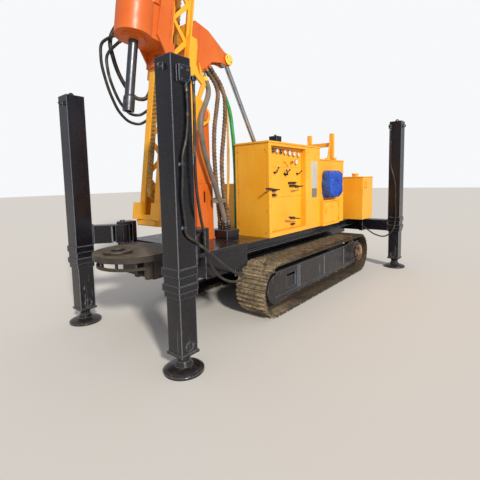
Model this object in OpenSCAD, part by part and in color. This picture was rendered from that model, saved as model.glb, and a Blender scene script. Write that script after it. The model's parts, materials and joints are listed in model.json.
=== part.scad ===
// Crawler-mounted rotary drilling rig with a folding mast, four telescopic jacking legs,
// a pair of tracks, a rotary head on a chain feed, and an operator's console on the left.
// +X points to the drill end, +Y to the console side, +Z up. The ground is at z = 0.
// Inside rig() the front legs stand on x = 0 and the machine runs back along -X.

/* [Jacking legs] */
// Half the distance between the two front legs
front_leg_y = 950; // [900:10:1000]
// Distance of the rear legs behind the front legs
rear_leg_x = 5060; // [5040:5:5090]
// Half the distance between the two rear legs
rear_leg_y = 1390; // [1350:10:1430]
// Outer width of a leg's square tube
leg_w = 214; // [206:2:220]
// Wall of the outer and inner leg tubes
leg_wall = 8; // [6:1:9]
// Free space between the inner and outer leg tubes on each side
leg_clear = 5; // [5:0.5:6]
// Height of the top of a leg
leg_top = 2800; // [2700:10:2900]
// Height of the lower end of the outer leg tube
leg_bottom = 710; // [690:10:730]
// Height of the upper end of the inner leg tube, inside the outer one
inner_top = 2150; // [2100:10:2190]
// Radius of a foot disc
foot_r = 190; // [170:5:200]

/* [Tracks] */
// Distance of the track's front behind the front legs
track_front = 1240; // [1235:5:1260]
// Length of a track over its grousers
track_len = 3480; // [3400:10:3560]
// Height of a track over its grousers
track_h = 700; // [690:5:705]
// Outer width over both tracks
track_gauge_out = 1960; // [1940:10:1990]
// Width of a track shoe
shoe_w = 450; // [420:10:460]
// Number of shoes in a track
shoe_count = 42; // [40:1:46]
// Height of a grouser rib
grouser_h = 24; // [18:1:28]

/* [Deck] */
// Height of the deck's upper face
deck_z = 960; // [950:5:970]
// Height of the deck's side sills
sill_h = 130; // [110:5:140]
// Half the width over the side sills
sill_y = 660; // [640:5:680]
// Distance of the front cross box's front face behind the front legs
front_box_x = 580; // [570:5:600]
// Length of the front cross box
front_box_len = 640; // [620:5:645]
// Half the width of the front cross box
front_box_y = 750; // [740:5:760]
// Height of the underside of the front cross box
front_box_z = 705; // [702:1:720]
// Height of the top of the front cross box
front_box_top = 1000; // [990:5:1010]

/* [Console] */
// Distance of the console's front face behind the front legs
console_x = 1795; // [1780:5:1810]
// Length of the console
console_len = 1470; // [1450:10:1480]
// Distance of the console's inner face from the centre plane
console_in = 104; // [102:1:110]
// Distance of the console's outer face from the centre plane
console_out = 690; // [680:5:700]
// Height of the console's roof
console_top = 2270; // [2240:10:2290]
// Depth of the gauge recess in the console's outer face
recess_d = 90; // [70:5:110]
// Thickness of a cabinet wall with its folded edge
cab_wall = 20; // [15:1:25]

/* [Rear body] */
// Length of the engine hood behind the console
hood_len = 950; // [900:10:980]
// Height of the engine hood
hood_top = 2080; // [2050:10:2100]
// Distance of the tank's front face behind the front legs
tank_x = 4500; // [4480:10:4520]
// Length of the tank across the rear
tank_len = 540; // [500:10:560]
// Half the width of the tank
tank_y = 950; // [930:5:960]
// Height of the tank's top
tank_top = 1780; // [1750:10:1800]

/* [Mast] */
// Distance of the mast's pivot behind the front legs
pivot_x = 1080; // [1070:5:1090]
// Height of the mast's pivot
pivot_z = 2570; // [2560:5:2600]
// Angle that the parked mast leans back from upright
lean = 8; // [7:0.5:9]
// Radius of the pivot pin
pivot_r = 40; // [35:1:45]
// Distance from the pivot down to the mast's lower end, along the mast
mast_below = 1280; // [1260:10:1290]
// Length of the mast's channel
mast_len = 5830; // [5700:10:5900]
// Distance from the pivot forward to the mast's back plate
mast_back = 250; // [245:1:260]
// Depth of the mast's channel
mast_depth = 300; // [290:5:310]
// Half the width over the mast's rear guide flanges
guide_y = 190; // [188:1:192]
// Half the width over the mast's front rails
rail_y = 180; // [176:1:182]
// Half the width of the open slot between the front rails
slot_y = 90; // [85:1:95]
// Gap between a sliding claw and its rail
slide_gap = 0.5; // [0.3:0.1:0.6]

/* [Rotary head] */
// Distance from the pivot forward to the drill axis
drill_n = 900; // [895:5:910]
// Height along the mast of the gearbox's underside above the pivot
head_t = 620; // [600:10:640]
// Radius of the drill spindle
spindle_r = 51; // [45:1:57]
// Radius of the flange at the spindle's lower end
spindle_end_r = 62; // [60:1:70]
// Bore of the spindle's lower end
spindle_bore = 38; // [30:1:40]
// Length of the spindle below the gearbox
spindle_len = 800; // [780:10:820]

/* [Lift cylinder] */
// Distance of the cylinder's foot pin behind the front legs
base_x = 3270; // [3260:5:3285]
// Height of the cylinder's foot pin
base_z = 910; // [905:5:920]
// Offset of the rod's eye behind the mast's pivot, across the mast
eye_n = 530; // [520:5:540]
// Offset of the rod's eye above the mast's pivot, along the mast
eye_t = 930; // [920:5:940]
// Radius of the barrel
barrel_r = 68; // [60:1:70]
// Radius of the chrome rod
rod_r = 34; // [30:1:38]
// Length from the foot pin to the gland's end
barrel_len = 1590; // [1560:10:1590]

/* [Drill table] */
// Radius of the table's guide hole
table_bore = 110; // [100:5:120]
// Half the width of the table
table_y = 430; // [420:5:440]
// Distance from the front legs forward to the table's rounded edge
table_front = 290; // [285:5:300]
// Height of the table's upper face
table_z = 1005; // [1000:1:1008]

/* [Hoses] */
// Radius of the leg's valve hoses
leg_hose_r = 13; // [11:1:14]
// Radius of the wrapped hose bundles behind the mast
bundle_r = 29; // [26:1:30]
// Radius of the thick feed hose behind the mast
feed_hose_r = 32; // [30:1:33]
// Radius of the hoses that hang from the rotary head
head_hose_r = 17; // [14:1:18]
// Radius of the thick air hose on the rotary head
air_hose_r = 24; // [22:1:25]

/* [Hidden] */
$fn = 48;

yellow = [0.95, 0.66, 0.13];
orange = [0.85, 0.36, 0.09];
black = [0.09, 0.09, 0.10];
mud = [0.66, 0.55, 0.42];
chrome = [0.80, 0.80, 0.82];
grey = [0.45, 0.45, 0.46];
blue = [0.06, 0.20, 0.60];
touch = 0.3;
rubber = [0.12, 0.11, 0.11];
wrap = [0.42, 0.38, 0.33];

// A hose swept through its route's points: a ring of corners stands square to the route at each point, and
// square to the given directions at the two ends.
hose_sides = 10;
function unit(v) = v / norm(v);
function heading(p, i, ends) = i == 0 ? ends[0] : i == len(p) - 1 ? ends[1] : unit(p[i + 1] - p[i - 1]);
function ring(c, d, r, side) = let (a = unit(cross(d, side)), b = cross(d, a))
    [for (k = [0 : hose_sides - 1]) c + r * (a * cos(k * 360 / hose_sides) + b * sin(k * 360 / hose_sides))];
module hose(p, r, side, ends) {
    n = len(p);
    corners = [for (i = [0 : n - 1]) each ring(p[i], heading(p, i, ends), r, side)];
    walls = [for (i = [0 : n - 2]) for (k = [0 : hose_sides - 1]) let (j = (k + 1) % hose_sides)
        [i * hose_sides + k, i * hose_sides + j, (i + 1) * hose_sides + j, (i + 1) * hose_sides + k]];
    caps = [[for (k = [hose_sides - 1 : -1 : 0]) k], [for (k = [0 : hose_sides - 1]) (n - 1) * hose_sides + k]];
    polyhedron(corners, concat(walls, caps));
}

// The whole machine is shifted so that its box is centred on the origin.
rear_reach = rear_leg_x + foot_r;
x_mid = (rear_reach - table_front) / 2;
module rig() translate([x_mid, 0, 0]) children();
module on_mast() translate([-pivot_x, 0, pivot_z]) rotate([0, -lean, 0]) children();
module both_sides() {
    children();
    mirror([0, 1, 0]) children();
}
// A box from its lowest corner to its highest one.
module span(a, b) translate(a) cube(b - a);
// A flat outline given in the x-z plane, as thick as from y0 to y1.
module plate_xz(y0, y1) translate([0, y1, 0]) rotate([90, 0, 0]) linear_extrude(y1 - y0) children();
// A round bar along Y.
module bar_y(r, y0, y1) translate([0, y0, 0]) rotate([-90, 0, 0]) cylinder(r = r, h = y1 - y0);
// A round bar along X.
module bar_x(r, x0, x1) translate([x0, 0, 0]) rotate([0, 90, 0]) cylinder(r = r, h = x1 - x0);

// Jacking legs
inner_w = leg_w - 2 * leg_wall - 2 * leg_clear;
end_block_z = 325;
flange_z = 170;
arm_z = 990;
arm_h = 230;
// Height and depth of each reinforcing band round the outer tube: bottom, height
bands = [[910, 70], [770, 60]];
band_t = 12;
pad_h = 150;

module square_tube(w, wall, h) linear_extrude(h) difference() {
    square(w, center = true);
    square(w - 2 * wall, center = true);
}
module leg_outer() {
    hub = leg_w / 2;
    translate([0, 0, leg_bottom]) square_tube(leg_w, leg_wall, leg_top - leg_bottom);
    // closed top with its lifting ear
    translate([-hub, -hub, leg_top - 12]) cube([leg_w, leg_w, 12]);
    translate([0, 0, leg_top]) plate_xz(-10, 10) difference() {
        union() {
            translate([0, 12]) circle(r = 34);
            translate([-34, 0]) square([68, 12]);
        }
        translate([0, 14]) circle(r = 14);
    }
    // reinforcing bands, open at the back where the arm joins
    for (b = bands) translate([0, 0, b[0]]) linear_extrude(b[1]) difference() {
        translate([-hub, -hub - band_t]) square([leg_w + band_t, leg_w + 2 * band_t]);
        square(leg_w - 1, center = true);
    }
    // wear pads that guide the inner tube
    for (a = [0 : 90 : 270]) rotate([0, 0, a])
        translate([inner_w / 2 + touch, -60, leg_bottom + 10]) cube([leg_clear - touch + 1, 120, pad_h]);
    // pad eye high on the front face
    translate([hub, 0, leg_top - 90]) plate_xz(-8, 8) difference() {
        union() {
            translate([0, -28]) square([22, 56]);
            translate([22, 0]) circle(r = 28);
        }
        translate([24, 0]) circle(r = 12);
    }
}
// Valve block with its elbow, and the clips that hold the hose, on a front leg's outer face
valve_z = 2650;
valve_w = 130;
valve_h = 136;
leg_face = leg_w / 2;
hose_off = leg_hose_r + 3;
clips = [[33, 1893], [27, 1345]];
module leg_valves() {
    difference() {
        translate([-83, leg_face - 1, valve_z - valve_h / 2]) cube([valve_w, 34, valve_h]);
        for (x = [-58, 22]) for (z = [-46, 46]) translate([x, leg_face + 28, valve_z + z]) bar_y(7, 0, 8);
    }
    translate([-52, leg_face + 32, valve_z + 30]) bar_y(13, 0, 16);
    translate([16, leg_face + 32, valve_z + 34]) bar_y(10, 0, 12);
    // necks that the two hoses leave from
    translate([-40, leg_face + hose_off, valve_z - valve_h / 2 - 42]) cylinder(r = leg_hose_r, h = 43);
    translate([-118, leg_face + 28, valve_z - 46]) cube([44, 36, 36]);
    translate([-97, leg_face + 46, valve_z - 50]) cylinder(r = leg_hose_r, h = 6);
    for (c = clips) translate([c[0], leg_face + hose_off, c[1] - 12]) linear_extrude(24) difference() {
        union() {
            circle(r = leg_hose_r + 6);
            translate([-26, -hose_off - 1]) square([52, 8]);
        }
        circle(r = leg_hose_r + touch);
    }
}
module leg_inner() {
    translate([0, 0, end_block_z - 1]) square_tube(inner_w, leg_wall, inner_top - end_block_z + 1);
    half = inner_w / 2;
    difference() {
        translate([-half, -half, flange_z + 20]) cube([inner_w, inner_w, end_block_z - flange_z - 20]);
        // sunk pin ends on both faces
        for (s = [-1, 1]) translate([0, s * (half - 3), (flange_z + end_block_z) / 2 + 8])
            bar_y(48, -6, 6);
    }
    for (s = [-1, 1]) translate([0, s * (half - 6), (flange_z + end_block_z) / 2 + 8]) bar_y(38, -5.5, 5.5);
    translate([-leg_w / 2, -leg_w / 2, flange_z]) cube([leg_w, leg_w, 22]);
    // ball neck and foot disc
    rotate_extrude() polygon([[0, 0], [foot_r, 0], [foot_r, 22], [foot_r - 30, 40], [88, 62], [62, 100],
        [62, 130], [80, flange_z + 1], [0, flange_z + 1]]);
}
module at_front_leg(side) rig() translate([0, side * front_leg_y, 0]) children();
module at_rear_leg(side) rig() translate([-rear_leg_x, side * rear_leg_y, 0]) rotate([0, 0, side * 90])
    children();

// Front swing arms: a vertical pin beside the front cross box carries each arm and its leg.
hinge_x = 430;
hinge_y = 680;
hinge_r = 32;
knuckle_r = 74;
ear_t = 30;
ear_gap = 5;
module front_arm(side) color(black) rig() mirror([0, side < 0 ? 1 : 0, 0]) difference() {
    union() {
        translate([0, 0, arm_z]) linear_extrude(arm_h) union() {
            translate([-hinge_x, hinge_y]) circle(r = knuckle_r);
            polygon([[-hinge_x + 34, hinge_y - 66], [-leg_w / 2, front_leg_y - 90], [-leg_w / 2, front_leg_y + 90],
                [-hinge_x - 34, hinge_y + 66]]);
        }
        // flange plate welded to the leg
        span([-leg_w / 2 - 18, front_leg_y - 105, arm_z - 5], [-leg_w / 2, front_leg_y + 105, arm_z + arm_h + 20]);
    }
    translate([-hinge_x, hinge_y, arm_z - 1]) cylinder(r = hinge_r + touch, h = arm_h + 2);
    // box section, open along its underside
    translate([0, 0, arm_z - 1]) linear_extrude(arm_h - 13) polygon([[-hinge_x + 110, hinge_y - 8],
        [-leg_w / 2 - 40, front_leg_y - 70], [-leg_w / 2 - 40, front_leg_y + 60], [-hinge_x + 60, hinge_y + 68]]);
}

// Rear slide arms: a square beam runs in the rear cross tube and carries each rear leg.
rear_tube = 240;
rear_wall = 12;
rear_tube_y = 800;
beam_w = rear_tube - 2 * rear_wall - 2 * leg_clear;
rear_tube_z = 820;
beam_in = 420;
module rear_arm(side) color(black) rig() mirror([0, side < 0 ? 1 : 0, 0])
    translate([-rear_leg_x, beam_in, rear_tube_z]) rotate([-90, 0, 0]) {
        reach = rear_leg_y - leg_w / 2 - beam_in;
        square_tube(beam_w, 10, reach - 15);
        translate([-beam_w / 2 - 10, -beam_w / 2 - 10, reach - 16]) cube([beam_w + 20, beam_w + 20, 16]);
    }
module rear_beam() color(black) rig() translate([-rear_leg_x, 0, rear_tube_z]) {
    translate([0, rear_tube_y, 0]) rotate([90, 0, 0]) square_tube(rear_tube, rear_wall, 2 * rear_tube_y);
    // collars at the tube's mouths and the pads that the beams slide on
    both_sides() {
        difference() {
            translate([-rear_tube / 2 - 14, rear_tube_y - 70, -rear_tube / 2 - 14])
                cube([rear_tube + 28, 70, rear_tube + 14]);
            translate([-rear_tube / 2 + 1, rear_tube_y - 90, -rear_tube / 2 + 1])
                cube([rear_tube - 2, 110, rear_tube + 20]);
        }
        translate([-80, rear_tube_y - 200, -rear_tube / 2 + rear_wall - 1])
            cube([160, 200, leg_clear - touch + 1]);
    }
}

// Front cross box with the fixed knuckles for the swing arms
leg_port_x = [1040, 1085];
leg_port_y = front_box_y + 25;
leg_port_z = front_box_z - 40;
module front_box() color(black) rig() {
    difference() {
        span([-front_box_x - front_box_len, -front_box_y, front_box_z], [-front_box_x, front_box_y, front_box_top]);
        span([-front_box_x - front_box_len + 12, -front_box_y + 12, front_box_z - 1],
            [-front_box_x - 12, front_box_y - 12, front_box_top - 12]);
    }
    both_sides() {
        // post on the front face and the two ears of the knuckle
        span([-front_box_x - 1, hinge_y - 85, front_box_z],
            [-front_box_x + 58, hinge_y + 70, arm_z + arm_h + ear_gap + ear_t]);
        for (z = [arm_z - ear_gap - ear_t, arm_z + arm_h + ear_gap]) translate([0, 0, z]) linear_extrude(ear_t)
            union() {
                translate([-hinge_x, hinge_y]) circle(r = knuckle_r - 2);
                translate([-front_box_x + 20, hinge_y - 72]) square([front_box_x - hinge_x - 20, 142]);
            }
        translate([-hinge_x, hinge_y, arm_z - ear_gap - ear_t - 12])
            cylinder(r = hinge_r, h = arm_h + 2 * ear_gap + 2 * ear_t + 30);
        // side rims
        span([-front_box_x - front_box_len, front_box_y - 1, front_box_top - 30],
            [-front_box_x, front_box_y + 10, front_box_top]);
    }
    // port plate below the box's left side, with a neck for each leg hose
    span([-leg_port_x[1] - 45, front_box_y - 12, leg_port_z - 40],
        [-leg_port_x[0] + 40, front_box_y, front_box_z + 30]);
    for (x = leg_port_x) translate([-x, 0, leg_port_z]) bar_y(leg_hose_r, front_box_y - 1, leg_port_y);
}

// Deck frame: side sills, main beams, cross members and deck plate
deck_front = front_box_x + front_box_len;
deck_rear = tank_x + tank_len + 20;
beam_y = 360;
beam_half = 55;
manifold_rear = 1480;
manifold_top = 1110;
neck_h = 40;
necks = [[-1290, 340, feed_hose_r], [-1300, 240, bundle_r], [-1420, 280, bundle_r]];
green_end = [-1880, 20];
module deck_frame() color(black) rig() {
    z0 = deck_z - sill_h;
    rear = -(rear_leg_x - rear_tube / 2);
    difference() {
        union() {
            both_sides() {
                // channel-shaped sill
                difference() {
                    span([-deck_rear, sill_y - 70, z0], [-deck_front, sill_y, deck_z]);
                    span([-deck_rear - 1, sill_y - 56, z0 + 14], [-deck_front + 1, sill_y + 1, deck_z - 16]);
                }
                span([rear, beam_y - beam_half, z0 - 190], [-deck_front, beam_y + beam_half, z0 + 40]);
            }
            span([-deck_rear, -sill_y + 20, deck_z - 14], [-deck_front, sill_y - 20, deck_z]);
            for (x = [deck_front + 90, 2250, base_x + 260, 4150, 4650])
                span([-x - 40, -sill_y + 60, z0 + 10], [-x + 40, sill_y - 60, deck_z - 13]);
        }
        // well over the lift cylinder's foot
        span([-base_x - 100, -140, deck_z - 15], [-base_x + 420, 140, deck_z + 1]);
        // the rear cross tube passes under the deck
        span([-rear_leg_x - rear_tube / 2 - 1, -sill_y - 1, 0], [-rear_leg_x + rear_tube / 2 + 1, sill_y + 1,
            rear_tube_z + rear_tube / 2 + touch]);
    }
    // cross member and foot bracket under the lift cylinder
    span([-base_x - 90, -beam_y + 10, z0 - 80], [-base_x + 90, beam_y - 10, z0]);
    difference() {
        both_sides() plate_xz(eye_half + 5, eye_half + 35) union() {
            translate([-base_x, base_z]) circle(r = 82);
            translate([-base_x - 82, z0 - 1]) square([164, base_z - z0 + 1]);
        }
        translate([-base_x, 0, base_z]) bar_y(base_pin_r - 1, -200, 200);
    }
    translate([-base_x, 0, base_z]) bar_y(base_pin_r, -eye_half - 45, eye_half + 45);
    // hose manifold behind the column, with a neck for each hose
    span([-manifold_rear, 190, deck_z - 1], [-deck_front - 24, 410, manifold_top]);
    for (p = necks) translate([p[0], p[1], manifold_top - 1]) cylinder(r = p[2], h = neck_h + 1);
    // bush in the deck for the green hose
    translate([green_end[0], green_end[1], deck_z - 1]) cylinder(r = bundle_r + 6, h = 13);
    // hangers that join the rear cross tube to the deck
    both_sides() span([rear, beam_y - beam_half, z0 - 100], [rear + 30, beam_y + beam_half, z0 + 20]);
}

// Carbody between the tracks
track_in = track_gauge_out / 2 - shoe_w;
module carbody() color(black) rig() {
    z0 = deck_z - sill_h;
    top = z0 - 190;
    difference() {
        span([-4060, -430, 300], [-1960, 430, top]);
        span([-4040, -410, 299], [-1980, 410, top - 16]);
    }
    for (x = [2330, 3690]) span([-x - 120, -frame_in, 290], [-x + 120, frame_in, 520]);
    // travel motor hose guard and towing eye
    plate_xz(-60, 60) difference() {
        polygon([[-1960, 330], [-1880, 380], [-1880, 470], [-1960, 520]]);
        translate([-1915, 425]) circle(r = 22);
    }
}

// Track frame: a box beam with a ribbed cover plate, seen inside the loop of shoes
frame_in = track_in + 70;
frame_out = track_gauge_out / 2 - 55;
cover_t = 18;
loop_r = track_h / 2;
plate_t = 18;
shoe_in_r = loop_r - grouser_h - plate_t;
link_d = 64;
wheel_r = shoe_in_r - link_d - touch;
idler_x = track_front + loop_r;
sprocket_x = track_front + track_len - loop_r;
link_w = 120;
track_mid = track_gauge_out / 2 - shoe_w / 2;
beam_bot = 250;
beam_top = 580;
roller_r = (beam_bot - (loop_r - wheel_r)) / 2 - 6;
roller_count = 7;
module cover_outline() {
    translate([-idler_x, loop_r]) circle(r = 190);
    translate([-sprocket_x, loop_r]) circle(r = 190);
    translate([-sprocket_x, beam_bot - 60]) square([sprocket_x - idler_x, beam_top - beam_bot + 60]);
}
module track_frame() {
    gap_x = wheel_r + 15;
    difference() {
        span([-sprocket_x + gap_x, frame_in, beam_bot], [-idler_x - gap_x, frame_out - cover_t, beam_top - 40]);
        span([-sprocket_x + gap_x + 20, frame_in + 20, beam_bot + 20],
            [-idler_x - gap_x - 20, frame_out, beam_top - 60]);
    }
    // fork arms that hold the idler and the final drive
    for (y = [[frame_in, frame_in + 25], [frame_out - cover_t - 26, frame_out - cover_t]]) plate_xz(y[0], y[1])
        difference() {
            translate([-sprocket_x - 90, loop_r - 95]) square([sprocket_x - idler_x + 180, 190]);
            translate([-idler_x, loop_r]) circle(r = axle_r + touch);
            translate([-sprocket_x, loop_r]) circle(r = y[0] == frame_in ? axle_r + touch : drive_r + 2);
        }
    plate_xz(frame_out - cover_t, frame_out) difference() {
        cover_outline();
        // inspection window over the track tensioner
        translate([-idler_x - 480, 300]) square([230, 190]);
        translate([-sprocket_x, loop_r]) circle(r = drive_r + 2);
    }
    // edge bars and ribs on the cover
    for (z = [beam_bot - 8, beam_top - 14])
        span([-sprocket_x + 130, frame_out - 1, z], [-idler_x + 20, frame_out + 14, z + 14]);
    for (x = [idler_x + 540, idler_x + 590, idler_x + 1350, idler_x + 2100])
        span([-x - 8, frame_out - 1, beam_bot], [-x + 8, frame_out + 10, beam_top - 10]);
    // tensioner cylinder seen through the window
    translate([0, track_mid + 100, 395]) bar_x(46, -idler_x - 560, -idler_x - gap_x + 20);
}
axle_r = 34;
drive_r = 150;
module wheel_disc(r, w, hub) {
    rotate([-90, 0, 0]) rotate_extrude() polygon([[0, -w / 2 - 30], [hub, -w / 2 - 30], [hub, -w / 2 + 14],
        [r - 60, -w / 2 + 14], [r - 46, -w / 2], [r, -w / 2], [r, w / 2], [r - 46, w / 2],
        [r - 60, w / 2 - 14], [hub, w / 2 - 14], [hub, w / 2 + 30], [0, w / 2 + 30]]);
}
module track_wheels() {
    y_mid = track_mid;
    for (x = [idler_x]) translate([-x, y_mid, loop_r]) wheel_disc(wheel_r, link_w - 30, 80);
    // toothed drive sprocket with its final drive hub
    translate([-sprocket_x, y_mid, loop_r]) {
        difference() {
            bar_y(wheel_r, -30, 30);
            for (a = [0 : 360 / 15 : 359]) rotate([0, a, 0]) translate([wheel_r + 4, 0, 0]) bar_y(24, -31, 31);
        }
        bar_y(drive_r, 29, frame_out - y_mid + 20);
        bar_y(112, frame_out - y_mid + 19, frame_out - y_mid + 38);
        bar_y(130, frame_in - y_mid + 30, -29);
    }
    translate([0, 0, loop_r]) for (x = [idler_x, sprocket_x])
        translate([-x, 0, 0]) bar_y(axle_r, frame_in + 2, frame_out - cover_t - 2);
    for (i = [0 : roller_count - 1]) {
        x = idler_x + 400 + i * (sprocket_x - idler_x - 800) / (roller_count - 1);
        translate([-x, track_mid, loop_r - wheel_r + roller_r + 0.2]) {
            bar_y(roller_r, -link_w / 2, link_w / 2);
            bar_y(26, -link_w / 2 - 30, link_w / 2 + 30);
        }
        // saddle that hangs the roller under the beam
        for (s = [-1, 1]) span([-x - 40, track_mid + s * (link_w / 2 + 20) - 10, 170],
            [-x + 40, track_mid + s * (link_w / 2 + 20) + 10, beam_bot]);
    }
}

// Track loop: the outline of the shoes, each a plate with three grouser ribs, and the link rails inside
run_len = track_len - 2 * loop_r;
path_r = loop_r - grouser_h;
path_len = 2 * run_len + 2 * PI * path_r;
shoe_pitch = path_len / shoe_count;
// A point of the loop at distance s along the shoes' outer face and height h above it.
function loop_point(s, h) =
    let (arc = PI * path_r, r = path_r + h)
    s < run_len ? [-idler_x - s, loop_r - r] :
    s < run_len + arc ? let (a = 270 - (s - run_len) / path_r * 180 / PI)
        [-sprocket_x + r * cos(a), loop_r + r * sin(a)] :
    s < 2 * run_len + arc ? [-sprocket_x + (s - run_len - arc), loop_r + r] :
    let (a = 90 - (s - 2 * run_len - arc) / path_r * 180 / PI)
        [-idler_x + r * cos(a), loop_r + r * sin(a)];
// Distance along one shoe, as a share of its pitch, and height: three ribs, then the joint to the next shoe
shoe_shape = [[0.00, -14], [0.04, 0], [0.13, 0], [0.18, 1], [0.23, 0], [0.42, 0], [0.47, 1], [0.52, 0],
    [0.71, 0], [0.76, 1], [0.81, 0], [0.96, 0]];
module track_loop() color(mud) rig() {
    outline = [for (i = [0 : shoe_count - 1]) for (p = shoe_shape)
        loop_point((i + p[0]) * shoe_pitch, p[1] == 1 ? grouser_h : p[1])];
    plate_xz(track_in, track_in + shoe_w) difference() {
        polygon(outline);
        stadium(shoe_in_r);
    }
    plate_xz(track_mid - link_w / 2, track_mid + link_w / 2) difference() {
        stadium(shoe_in_r + 1);
        stadium(shoe_in_r - link_d);
    }
}
module stadium(r) {
    for (x = [idler_x, sprocket_x]) translate([-x, loop_r]) circle(r = r);
    translate([-sprocket_x, loop_r - r]) square([sprocket_x - idler_x, 2 * r]);
}

// Mast stand: a boxed column on the front cross box, forked round the mast's pivot
stand_y = 200;
stand_top_y = 184;
stand_step = 1720;
stand_rear = -pivot_x - 140;
stand_front = -pivot_x + 150;
module mast_stand() color(orange) rig() {
    difference() {
        union() {
            span([stand_rear, -stand_y, front_box_top], [stand_front, stand_y, stand_step]);
            span([stand_rear - 15, -stand_y - 12, front_box_top],
                [stand_front + 15, stand_y + 12, front_box_top + 20]);
            plate_xz(-stand_top_y, stand_top_y) {
                polygon([[stand_rear + 15, stand_step - 1], [stand_front - 25, stand_step - 1],
                    [-pivot_x + 118, pivot_z - 120], [-pivot_x + 122, pivot_z], [-pivot_x - 122, pivot_z],
                    [-pivot_x - 118, pivot_z - 120]]);
                translate([-pivot_x, pivot_z]) circle(r = 122);
            }
        }
        // hollow inside and a service slot in each side
        span([stand_rear + 24, -stand_y + 16, front_box_top - 1], [stand_front - 24, stand_y - 16, stand_step - 16]);
        span([-pivot_x - 5, -stand_y - 1, 1480], [-pivot_x + 25, stand_y + 1, 1620]);
        translate([-pivot_x, 0, pivot_z]) bar_y(pivot_r - 1, -stand_y, stand_y);
        // open fork between the two upper side plates
        span([-pivot_x - 200, -140, stand_step + 240], [-pivot_x + 200, 140, pivot_z + 200]);
    }
    translate([-pivot_x, 0, pivot_z]) bar_y(pivot_r, -carrier_out - 24, carrier_out + 24);
    both_sides() translate([-pivot_x, 0, pivot_z]) {
        bar_y(66, carrier_out + 6, carrier_out + 24);
        bar_y(80, 139, stand_top_y);
    }
    // stiffening ribs down the rear corners, up to the step
    both_sides() span([stand_rear - 10, stand_y - 60, front_box_top + 19],
        [stand_rear + 1, stand_y - 44, stand_step - 140]);
}

// Mast carrier: two side plates that hang on the pivot pin and hold the mast's rear flanges in claws
carrier_in = guide_y + slide_gap;
carrier_out = carrier_in + 25;
carrier_low = -760;
carrier_high = 860;
flange_t = 20;
claw_t = 26;
claw_front = mast_back + flange_t + slide_gap + claw_t;
module carrier_outline() {
    polygon([[claw_front, carrier_low], [claw_front, carrier_high], [190, carrier_high], [150, 640], [-10, 372],
        [62, 180], [-90, 78], [-90, -78], [100, -230], [150, carrier_low]]);
    circle(r = 118);
}
module mast_carrier() color(yellow) rig() on_mast() {
    back = mast_back - slide_gap;
    difference() {
        both_sides() plate_xz(carrier_in, carrier_out) difference() {
            carrier_outline();
            circle(r = pivot_r + touch);
            // lightening holes
            polygon([[175, 760], [175, 560], [90, 440]]);
            polygon([[60, 360], [200, 440], [200, 200], [110, 190]]);
            polygon([[150, -300], [205, -300], [205, -620], [185, -680]]);
        }
    }
    // claws in front of the mast's rear flanges
    both_sides() for (t = [[carrier_low, -420], [460, carrier_high]])
        span([claw_front - claw_t, 156, t[0]], [claw_front, carrier_in + 1, t[1]]);
    // back plate with its window
    difference() {
        span([back - 24, -carrier_in - 1, carrier_low], [back, carrier_in + 1, carrier_high]);
        span([back - 30, -120, -600], [back + 1, 120, -260]);
        span([back - 30, -120, -130], [back + 1, 120, 380]);
    }
}
// Head of the carrier: a box bracket that the lift cylinder's rod pushes on, open at the rear for the rod's eye
head_box_y = 70;
eye_half = 38;
eye_rear = -eye_n;
base_pin_r = 35;
// The three corners of the head's underside, and the hose necks on its two faces:
// face, distance along it, sideways, radius
head_low = [[30, 578], [-110, 650], [-230, 785]];
outlets = [[0, 118, 36, feed_hose_r], [1, 45, 36, bundle_r], [1, 125, 36, bundle_r], [1, 125, -36, bundle_r]];
outlet_h = 35;
function face_dir(f) = unit(head_low[f + 1] - head_low[f]);
function face_out(f) = [-face_dir(f)[1], face_dir(f)[0]];
function outlet_at(o, h) = head_low[o[0]] + face_dir(o[0]) * o[1] + face_out(o[0]) * h;
module carrier_head() color(orange) rig() on_mast() {
    rear_edge = mast_back - slide_gap - 24;
    difference() {
        plate_xz(-head_box_y, head_box_y) polygon(concat([[rear_edge, 610]], head_low, [[eye_rear + 110, eye_t - 80],
            [eye_rear + 90, eye_t + 80], [-120, 1150], [120, 1170], [rear_edge, 860]]));
        plate_xz(-head_box_y + 16, head_box_y - 16) polygon([[rear_edge - 24, 640], [26, 612], [-94, 675],
            [-212, 803], [-240, 770], [eye_rear, 770], [eye_rear, eye_t + 28], [-120, 1112], [100, 1132],
            [rear_edge - 24, 850]]);
    }
    // ears either side of the rod's eye, with the pin's caps on their outer faces
    both_sides() plate_xz(eye_half + 5, eye_half + 30) {
        translate([eye_rear, eye_t]) circle(r = 78);
        polygon([[eye_rear - 30, eye_t + 70], [eye_rear + 10, eye_t - 78], [eye_rear + 120, eye_t - 84],
            [eye_rear + 90, eye_t + 80]]);
    }
    both_sides() translate([eye_rear, 0, eye_t]) {
        bar_y(52, eye_half + 29, eye_half + 44);
        bar_y(34, eye_half + 43, eye_half + 50);
    }
    // hose necks
    for (o = outlets) translate([outlet_at(o, 0)[0], o[2], outlet_at(o, 0)[1]])
        rotate([0, atan2(face_out(o[0])[0], face_out(o[0])[1]), 0])
            translate([0, 0, -10]) cylinder(r = o[3], h = outlet_h + 10);
}

// Mast: a channel open to the front, with triangular openings in its side webs
web_y = 150;
web_t = 20;
rail_t = 26;
bay = 450;
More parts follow.
